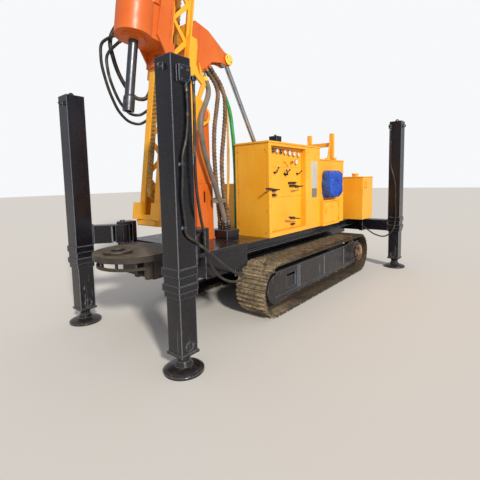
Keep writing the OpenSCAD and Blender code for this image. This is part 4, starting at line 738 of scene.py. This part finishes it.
GAUGE_WHITE = paint("gauge_white", rgb(236, 236, 228), rgb(222, 220, 206), dust=0.1, wear=0.0, gloss=0.25,
                    grime=0.1)
GAUGE_DARK = paint("gauge_dark", rgb(24, 24, 26), rgb(36, 36, 38), dust=0.1, wear=0.0, gloss=0.25, grime=0.1)
RED = paint("red_mark", rgb(206, 34, 30), rgb(196, 50, 40), dust=0.1, wear=0.2, gloss=0.3, grime=0.1)
ZINC = bare_metal("zinc_bolt", rgb(150, 148, 140), 0.35, 0.5)
PLATE = paint("blank_plate", rgb(208, 206, 198), rgb(186, 182, 170), dust=0.3, wear=0.1, gloss=0.45,
              grime=0.3)
PLATE_GREY = paint("blank_plate_grey", rgb(136, 134, 128), rgb(118, 114, 104), dust=0.3, wear=0.1, gloss=0.5,
                   grime=0.3)
CRIMP = bare_metal("crimp_steel", rgb(120, 116, 108), 0.4, 0.6)

# Gauges: distance behind the recess's front edge, height, radius of the bezel, turn of the needle
GAUGES = [(0.145, 2.156, 0.033, 200), (0.236, 2.152, 0.033, 222), (0.336, 2.147, 0.033, 240),
          (0.441, 2.142, 0.033, 205), (0.562, 2.136, 0.037, 231), (0.692, 2.130, 0.037, 214),
          (0.822, 2.124, 0.037, 250), (0.758, 2.012, 0.041, 228)]
DARK_DIALS = (0, 2)
RED_NEEDLE = 7
RECESS_FRONT = -1.857
# Rounds of a gauge: distance from the middle plane, and outline by height and width past the radius
BACK_Y, BACK = 0.624, [(0, -0.0045), (0.0018, -0.0045)]
BEZEL_Y, BEZEL = 0.626, [(0, 0.0015), (0.0045, 0.0015), (0.006, -0.002)]
DIAL_Y, DIAL = 0.6315, [(0, -0.0035), (0.0012, -0.004)]
# Its needle's hub, by height and whole radius
HUB_Y, HUB = 0.6326, [(0, 0.0045), (0.0022, 0.0035)]
GAUGE_SIDES, HUB_SIDES = 32, 12
# Ticks: how many, turn of the first and step in degrees, and the first red one
TICKS, FIRST_TICK, TICK_STEP, FIRST_RED = 11, 225, 27, 9
# A tick's distance from the middle plane, half sizes, and how far its middle lies inside the bezel
TICK_Y, TICK_HALF, TICK_IN = 0.633, Vector((0.0028, 0.0004, 0.0007)), 0.0085
# The needle's middle and half length as shares of the bezel's radius, and its other half sizes
NEEDLE_Y = 0.6336
NEEDLE_AT, NEEDLE_HALF, NEEDLE_THICK, NEEDLE_WIDE = 0.28, 0.36, 0.0004, 0.0011


def add_gauge(b, index, back, z, r, needle):
    """One dial with ticks, a needle and a dark bezel ring, on its case."""
    x = LEG_X + RECESS_FRONT - back
    face, mark = (GAUGE_DARK, GAUGE_WHITE) if index in DARK_DIALS else (GAUGE_WHITE, GAUGE_DARK)
    for y, outline, finish in ((BACK_Y, BACK, face), (BEZEL_Y, BEZEL, GAUGE_DARK), (DIAL_Y, DIAL, face)):
        b.lathe((x, y, z), LEFT, [(height, r + past) for height, past in outline], finish, GAUGE_SIDES)
    for k in range(TICKS):
        turn = Matrix.Rotation(-math.radians(FIRST_TICK - TICK_STEP * k), 3, "Y")
        at = Vector((x, TICK_Y, z)) + turn @ Vector((TICK_IN - r, 0, 0))
        b.box(at - TICK_HALF, at + TICK_HALF, RED if k >= FIRST_RED else mark, turn)
    turn = Matrix.Rotation(math.radians(needle), 3, "Y")
    at = Vector((x, NEEDLE_Y, z)) + turn @ Vector((r * NEEDLE_AT, 0, 0))
    half = Vector((r * NEEDLE_HALF, NEEDLE_THICK, NEEDLE_WIDE))
    b.box(at - half, at + half, RED if index == RED_NEEDLE else mark, turn)
    b.lathe((x, HUB_Y, z), LEFT, HUB, mark, HUB_SIDES)


def add_gauges():
    b = Build("gauge_dials")
    for index, gauge in enumerate(GAUGES):
        add_gauge(b, index, *gauge)
    b.done("machine", "lever_black")


# Screws on the console's left face and on its front face
CONSOLE_Y = 0.6905
SIDE_SCREWS_X = (-1.821, -3.215, -2.835)
SIDE_SCREWS_Z = (1.02, 1.40, 1.78, 2.16)
FRONT_SCREWS_X = -1.794
FRONT_SCREWS_Y = (0.16, 0.63)
FRONT_SCREWS_Z = (1.03, 1.58, 2.15)
SCREW = 0.010
# Blank plates on the left face: rear and front end, lower and upper edge, finish
PLATES = [(-3.165, -2.965, 1.60, 2.03, PLATE), (-3.15, -2.985, 1.455, 1.598, PLATE_GREY)]
PLATE_IN, PLATE_OUT = 0.001, 0.0015
KNOB_AT = (RECESS_FRONT - 0.619, 0.637, 2.004)
KNOB = [(0, 0.021), (0.006, 0.022), (0.010, 0.016)]


def add_console_trim():
    """Screws round the console's sheets, the two blank plates and the red pull knob."""
    b = Build("console_trim")
    for z in SIDE_SCREWS_Z:
        for x in SIDE_SCREWS_X:
            b.bolt(rig_point(x, CONSOLE_Y, z), LEFT, SCREW, ZINC)
    for y in FRONT_SCREWS_Y:
        for z in FRONT_SCREWS_Z:
            b.bolt(rig_point(FRONT_SCREWS_X, y, z), (1, 0, 0), SCREW, ZINC)
    for x0, x1, z0, z1, finish in PLATES:
        b.box(rig_point(x0, CONSOLE_Y - PLATE_IN, z0), rig_point(x1, CONSOLE_Y + PLATE_OUT, z1), finish)
    b.lathe(rig_point(*KNOB_AT), LEFT, KNOB, RED, 20, smooth=True)
    b.done("machine", "yellow_paint")


# Legs: the body of each, how far out they are, and how far the rear ones are behind the front ones
LEG_BODIES = {"front_leg_left": "front_left_arm", "front_leg_right": "front_right_arm",
              "rear_leg_left": "rear_left_arm", "rear_leg_right": "rear_right_arm"}
FRONT_LEG_OUT = 0.950
REAR_LEG_OUT = 1.390
REAR_LEG_BACK = 5.060
# Edges of the bands round the legs: height, and -1 for a lower edge or 1 for an upper one
BAND_EDGES = [(0.770, -1), (0.830, 1), (0.910, -1), (0.980, 1)]
# Distance of the beads from the leg's middle and from the band's edge, and their number on a side
WELD_REACH = 0.110
WELD_OUT = 0.004
BEADS = 22
BEAD = [(0, 0.0032), (0.003, 0.0056), (0.007, 0.0056), (0.0105, 0.0030)]
BEAD_HALF = 0.005
# Three sides of the square round a leg. The fourth is open, where the arm joins
WELD_CORNERS = [(-1, -1), (1, -1), (1, 1), (-1, 1)]


def add_leg_welds():
    """Weld beads along the edges of the legs' bands."""
    for node, body in LEG_BODIES.items():
        low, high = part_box(node)
        front = node.startswith("front")
        x = 0 if front else -REAR_LEG_BACK
        y = math.copysign(FRONT_LEG_OUT if front else REAR_LEG_OUT, (low.y + high.y) / 2)
        turn = Matrix.Rotation(0 if front else math.copysign(math.pi / 2, y), 3, "Z")
        b = Build("welds_" + node)
        for height, edge_way in BAND_EDGES:
            centre = rig_point(x, y, height + edge_way * WELD_OUT)
            corners = [centre + turn @ Vector((u * WELD_REACH, v * WELD_REACH, 0)) for u, v in WELD_CORNERS]
            for p, q in zip(corners, corners[1:]):
                for k in range(BEADS):
                    at = p.lerp(q, (k + 0.5) / BEADS)
                    b.lathe(at - (q - p).normalized() * BEAD_HALF, q - p, BEAD, BLACK, 6)
        b.done(body, "black_paint")


# A crimped sleeve's length over its hose's radius, its outline as shares of that length, and its rise
CRIMP_LENGTH = 2.6
CRIMP_OUTLINE = [(0.3, 0.0035), (0.36, 0.0022), (0.64, 0.0022), (0.7, 0.0035), (1, 0.003)]
CRIMP_START = (0.0006, 0.0035)


def add_ferrules():
    """Crimped steel sleeves on the ends of the hoses."""
    for body in sorted({end[0] for end in hose_ends}):
        b = Build("crimps_" + body)
        for owner, r, at, along in hose_ends:
            if owner != body:
                continue
            length = CRIMP_LENGTH * r
            ring = [(CRIMP_START[0], r + CRIMP_START[1])]
            ring += [(length * share, r + rise) for share, rise in CRIMP_OUTLINE]
            b.lathe(at, along - at, ring, CRIMP, 20, smooth=True)
        b.done(body, "ring_steel")


# Steps along the feed hose's line between which its collar sits, its rise at the ends and between, its bevel
COLLAR_STEPS = (8, 14)
COLLAR_END, COLLAR_RISE, COLLAR_BEVEL = 0.005, 0.008, 0.004


def add_feed_collar():
    """The yellow collar of the feed hose."""
    start, end = (deck_lines["feed_hose"][i] for i in COLLAR_STEPS)
    length = (end - start).length
    low_r, high_r = FEED_HOSE_R + COLLAR_END, FEED_HOSE_R + COLLAR_RISE
    b = Build("feed_collar")
    b.lathe(start, end - start, [(0, low_r), (COLLAR_BEVEL, high_r), (length - COLLAR_BEVEL, high_r),
                                 (length, low_r)], CAP_YELLOW, smooth=True, sides=28)
    b.done("carrier", "yellow_paint")


# Valve block, all from the port: its corners, and the heights of its screws
PORT_LOW, PORT_HIGH = Vector((-0.018, -0.028, 0.012)), Vector((0.020, 0.028, 0.082))
PORT_NUT = [(0, 0.017), (0.011, 0.017), (0.0125, 0.014)]
PORT_SCREWS_Z = (0.028, 0.066)
PORT_SCREW = 0.014


def add_rear_port():
    """The small valve block on the rear left leg that its hose comes out of."""
    b = Build("rear_leg_port")
    port = rig_point(*REAR_PORT)
    b.box(port + PORT_LOW, port + PORT_HIGH, BLACK)
    b.lathe(port + Vector((0, 0, PORT_LOW.z + 0.001)), DOWN, PORT_NUT, ZINC, 6)
    for z in PORT_SCREWS_Z:
        b.bolt(port + Vector((PORT_HIGH.x, 0, z)), (1, 0, 0), PORT_SCREW, ZINC)
    b.done("rear_left_arm", "black_paint")


# Lift cylinder's eye pin in the mast's frame: forward, out to the caps, up the mast
EYE_PIN = (-0.530, 0.0815, 0.930)
PIN_CAP = [(0, 0.072), (0.006, 0.074), (0.012, 0.068), (0.0125, 0.030), (0.020, 0.028)]
# Screws of a cap: turn of the first, distance from the pin's middle, height on the cap, size
CAP_SCREW_TURN, CAP_SCREW_R, CAP_SCREW_OUT, CAP_SCREW = 0.4, 0.048, 0.0125, 0.012


def add_pin_caps():
    """Broad yellow caps on the lift cylinder's eye pin."""
    b = Build("eye_pin_caps")
    n, out, t = EYE_PIN
    for side in (-1, 1):
        at = mast_point(n, side * out, t)
        b.lathe(at, LEFT * side, PIN_CAP, CAP_YELLOW, 36)
        for a in (CAP_SCREW_TURN, CAP_SCREW_TURN + math.pi):
            round_pin = (FORWARD * math.cos(a) + UP_MAST * math.sin(a)) * CAP_SCREW_R
            b.bolt(at + round_pin + LEFT * side * CAP_SCREW_OUT, LEFT * side, CAP_SCREW, ZINC)
    b.done("carrier", "orange_paint")


# Tracks: middle, width and top of the shoes
TRACK_MID_Y = 0.755
TRACK_W = 0.450
TRACK_TOP = 0.700
# Soil on them: its ends from the front legs, its steps across and along, and those in which it thins out
SOIL_FRONT, SOIL_REAR = -1.62, -4.34
SOIL_MARGIN = 0.03
SOIL_STEPS = (15, 150)
SOIL_FADE, SOIL_RIM = 14, 2
# The rim's depth below the shoes' top, the soil's height over it, its lumps, and its rise on the inside
SOIL_DOWN, SOIL_HIGH, SOIL_LUMPS, SOIL_INSIDE = 0.030, 0.022, 0.012, 0.016


def add_track_dirt():
    """Dry soil packed between the shoes along each track's upper run."""
    across, along = SOIL_STEPS
    x0, x1 = LEG_X + SOIL_FRONT, LEG_X + SOIL_REAR
    for side, name in ((1, "left"), (-1, "right")):
        verts, faces = [], []
        for i in range(along + 1):
            x = x0 + (x1 - x0) * i / along
            fade = min(1, i / SOIL_FADE, (along - i) / SOIL_FADE)
            for k in range(across + 1):
                v = k / across
                y = side * (TRACK_MID_Y + (v - 0.5) * (TRACK_W - SOIL_MARGIN))
                lumps = noise.noise(Vector((x * 9, y * 11, side)))
                lumps += 0.6 * noise.noise(Vector((x * 31, y * 31, side)))
                height = SOIL_HIGH + SOIL_LUMPS * lumps + SOIL_INSIDE * (1 - v)
                rim = min(1, k / SOIL_RIM, (across - k) / SOIL_RIM)
                verts.append((x, y, TRACK_TOP - SOIL_DOWN + height * rim * fade))
        for i in range(along):
            for k in range(across):
                a = i * (across + 1) + k
                quad = (a, a + 1, a + across + 2, a + across + 1)
                faces.append(quad if side < 0 else quad[::-1])
        obj = piece_from("track_dirt_" + name, verts, faces, smooth=True)
        obj.data.materials.append(SHADED_TOP_SOIL)
        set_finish(obj, "track_steel")
        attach(obj, "machine")


# Rope: its middle, its half widths forward and sideways, its rise in a turn, its radius and unevenness
TIE_AT = (-1.262, 0.276, 1.50)
TIE_X, TIE_Y, TIE_RISE, TIE_R, TIE_UNEVEN = 0.112, 0.074, 0.014, 0.0055, 0.006
TIE_TURNS, TIE_POINTS = 4, 40


def add_hose_tie():
    """A rope wound round the bundles above the manifold."""
    centre = rig_point(*TIE_AT)
    b = Build("hose_tie")
    line = []
    for i in range(TIE_TURNS * TIE_POINTS + 1):
        a = math.tau * i / TIE_POINTS
        uneven = TIE_UNEVEN * noise.noise(Vector((i * 0.21, 0, 3)))
        up = TIE_RISE * (i / TIE_POINTS - TIE_TURNS / 2) + uneven
        line.append(centre + Vector((math.cos(a) * (TIE_X + uneven), math.sin(a) * (TIE_Y + uneven), up)))
    for p, q in zip(line, line[1:]):
        b.rod(p, q, TIE_R, ROPE, 8)
    b.done("machine", "hose_wrap")


# Blue sheet: steps across and down, and its thickness in metres
SHEET_STEPS = (84, 64)
SHEET_THICK = 0.0012
# Shares of its rows where the flat top ends, the rounded top ends, the folds start and it gathers
TOP_FLAT, TOP_ROUND, FOLDS_FROM, GATHERS_FROM = 0.05, 0.16, 0.55, 0.80
# Width and depth of the top row as shares of the unit's, and the shares that the last row loses
TOP_WIDE, TOP_DEEP = 0.35, 0.30
LESS_WIDE, LESS_DEEP = 0.20, 0.25
# Gap in metres above the top row, and the drop to the last row as a share of the unit's height
SHEET_TOP, SHEET_DROP = 0.004, 0.99
# In metres: how far in the sheet lies, and how deep its creases, lower folds and waves are
SHEET_IN, CREASE_DEEP, FOLD_DEEP, WAVE_DEEP = 0.034, 0.046, 0.020, 0.008
# Distance from a corner of the unit over which the sheet is less creased
SHEET_CORNER = 0.05
# How far the sheet stays inside the unit's own box and off the wall behind it, in metres
SHEET_INSIDE = 0.001
SHEET_OFF_WALL = 0.002


def sheet_path(u, low, high, inner_y):
    """A point and the way out at the length u along the sheet's path round three sides of the unit."""
    depth, width = high.y - inner_y, high.x - low.x
    if u < depth:
        return low.x, inner_y + u, -1, 0
    if u < depth + width:
        return low.x + u - depth, high.y, 0, 1
    return high.x, high.y - (u - depth - width), 1, 0


def crease(s, v):
    """Depth of the creases at the share s across and v down, from broad ones to sharp slanting ones."""
    return (noise.noise(Vector((s * 9 + v * 2.5, v * 3.2, 1.7)))
            + 0.55 * abs(noise.noise(Vector((s * 20 - v * 7, v * 9, 4.1))))
            + 0.35 * abs(noise.noise(Vector((s * 5 + v * 16, v * 4 - s * 8, 9.3)))))


def sheet_mesh(low, high, inner_y):
    """The sheet's vertices row by row from the top down, and its faces."""
    across, down = SHEET_STEPS
    depth, width, height = high.y - inner_y, high.x - low.x, high.z - low.z
    middle_x = (low.x + high.x) / 2
    length = 2 * depth + width
    verts, faces = [], []
    for j in range(down + 1):
        v = j / down
        opened = min(1, v / TOP_ROUND) ** 0.5
        gathered = max(0, (v - GATHERS_FROM) / (1 - GATHERS_FROM)) ** 1.5
        wide = (TOP_WIDE + (1 - TOP_WIDE) * opened) * (1 - LESS_WIDE * gathered)
        deep = (TOP_DEEP + (1 - TOP_DEEP) * opened) * (1 - LESS_DEEP * gathered)
        folded = max(0, v - FOLDS_FROM) / (1 - FOLDS_FROM)
        z = high.z - SHEET_TOP - height * SHEET_DROP * max(0, (v - TOP_FLAT) / (1 - TOP_FLAT))
        for i in range(across + 1):
            u = i / across * length
            s = u / length
            x, y, out_x, out_y = sheet_path(u, low, high, inner_y)
            x = middle_x + (x - middle_x) * wide
            y = inner_y + (y - inner_y) * deep
            fold = FOLD_DEEP * abs(math.sin(s * 21 + 4 * v)) * folded
            out = CREASE_DEEP * crease(s, v) - SHEET_IN - fold
            if min(abs(u - depth), abs(u - depth - width)) < SHEET_CORNER:
                out *= math.sqrt(0.5)
            x = min(high.x - SHEET_INSIDE, max(low.x + SHEET_INSIDE, x + out_x * out))
            y = min(high.y - SHEET_INSIDE, max(inner_y, y + out_y * out))
            wave = WAVE_DEEP * noise.noise(Vector((s * 12, v * 5, 0))) * min(1, v * 6) * (v < 0.97)
            verts.append((x, y, z + wave))
    for j in range(down):
        for i in range(across):
            a = j * (across + 1) + i
            faces.append((a, a + across + 1, a + across + 2, a + 1))
    return verts, faces


def add_blue_sheet():
    """Plastic sheet tied over the control unit: creased, puffed, and gathered below."""
    low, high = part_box("blue_cover")
    obj = piece_from("blue_sheet", *sheet_mesh(low, high, low.y + SHEET_OFF_WALL), smooth=True)
    obj.data.materials.append(BLUE)
    obj.modifiers.new("relax", "SUBSURF").render_levels = 1
    thick = obj.modifiers.new("thick", "SOLIDIFY")
    thick.thickness = SHEET_THICK
    thick.offset = -1
    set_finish(obj, "blue_sheet")
    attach(obj, "machine")
    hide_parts("blue_cover")
    return obj


add_gauges()
add_console_trim()
add_leg_welds()
add_ferrules()
add_feed_collar()
add_rear_port()
add_pin_caps()
add_track_dirt()
add_hose_tie()
blue_sheet = add_blue_sheet()


# Floor, world and lamps
FLOOR_HALF = 60
FLOOR_COLOUR = rgb(214, 210, 203)
SKY_COLOUR, SKY_STRENGTH = (0.92, 0.93, 1.0, 1), 0.55
BACKDROP_COLOUR, BACKDROP_STRENGTH = (0.93, 0.94, 0.96, 1), 1.0
SUN_COLOUR, SUN_STRENGTH = (1.0, 0.95, 0.86), 3.2
SUN_SIZE = math.radians(6)
TOWARDS_SUN = Vector((0.36, 0.78, 0.50))


def add_floor():
    corners = [(x * FLOOR_HALF, y * FLOOR_HALF, 0) for x, y in ((-1, -1), (1, -1), (1, 1), (-1, 1))]
    obj = piece_from("floor", corners, [(0, 1, 2, 3)])
    s = Shader("floor")
    s.set(Base_Color=FLOOR_COLOUR, Roughness=0.9)
    obj.data.materials.append(s.mat)


def add_sky():
    """A soft sky that lights the object, and a plain pale backdrop for the camera."""
    world = bpy.data.worlds.new("world")
    bpy.context.scene.world = world
    world.use_nodes = True
    tree = world.node_tree
    back = tree.nodes["Background"]
    back.inputs["Color"].default_value = SKY_COLOUR
    back.inputs["Strength"].default_value = SKY_STRENGTH
    seen = tree.nodes.new("ShaderNodeBackground")
    seen.inputs["Color"].default_value = BACKDROP_COLOUR
    seen.inputs["Strength"].default_value = BACKDROP_STRENGTH
    path = tree.nodes.new("ShaderNodeLightPath")
    mix = tree.nodes.new("ShaderNodeMixShader")
    tree.links.new(path.outputs["Is Camera Ray"], mix.inputs[0])
    tree.links.new(back.outputs[0], mix.inputs[1])
    tree.links.new(seen.outputs[0], mix.inputs[2])
    tree.links.new(mix.outputs[0], tree.nodes["World Output"].inputs["Surface"])


def add_sun():
    """One broad, warm lamp from the front left."""
    sun = bpy.data.lights.new("sun", "SUN")
    sun.energy = SUN_STRENGTH
    sun.angle = SUN_SIZE
    sun.color = SUN_COLOUR
    obj = bpy.data.objects.new("sun", sun)
    bpy.context.collection.objects.link(obj)
    obj.rotation_euler = TOWARDS_SUN.normalized().to_track_quat("Z", "Y").to_euler()


add_floor()
add_sky()
add_sun()

scene = bpy.context.scene
scene.view_settings.view_transform = "Standard"
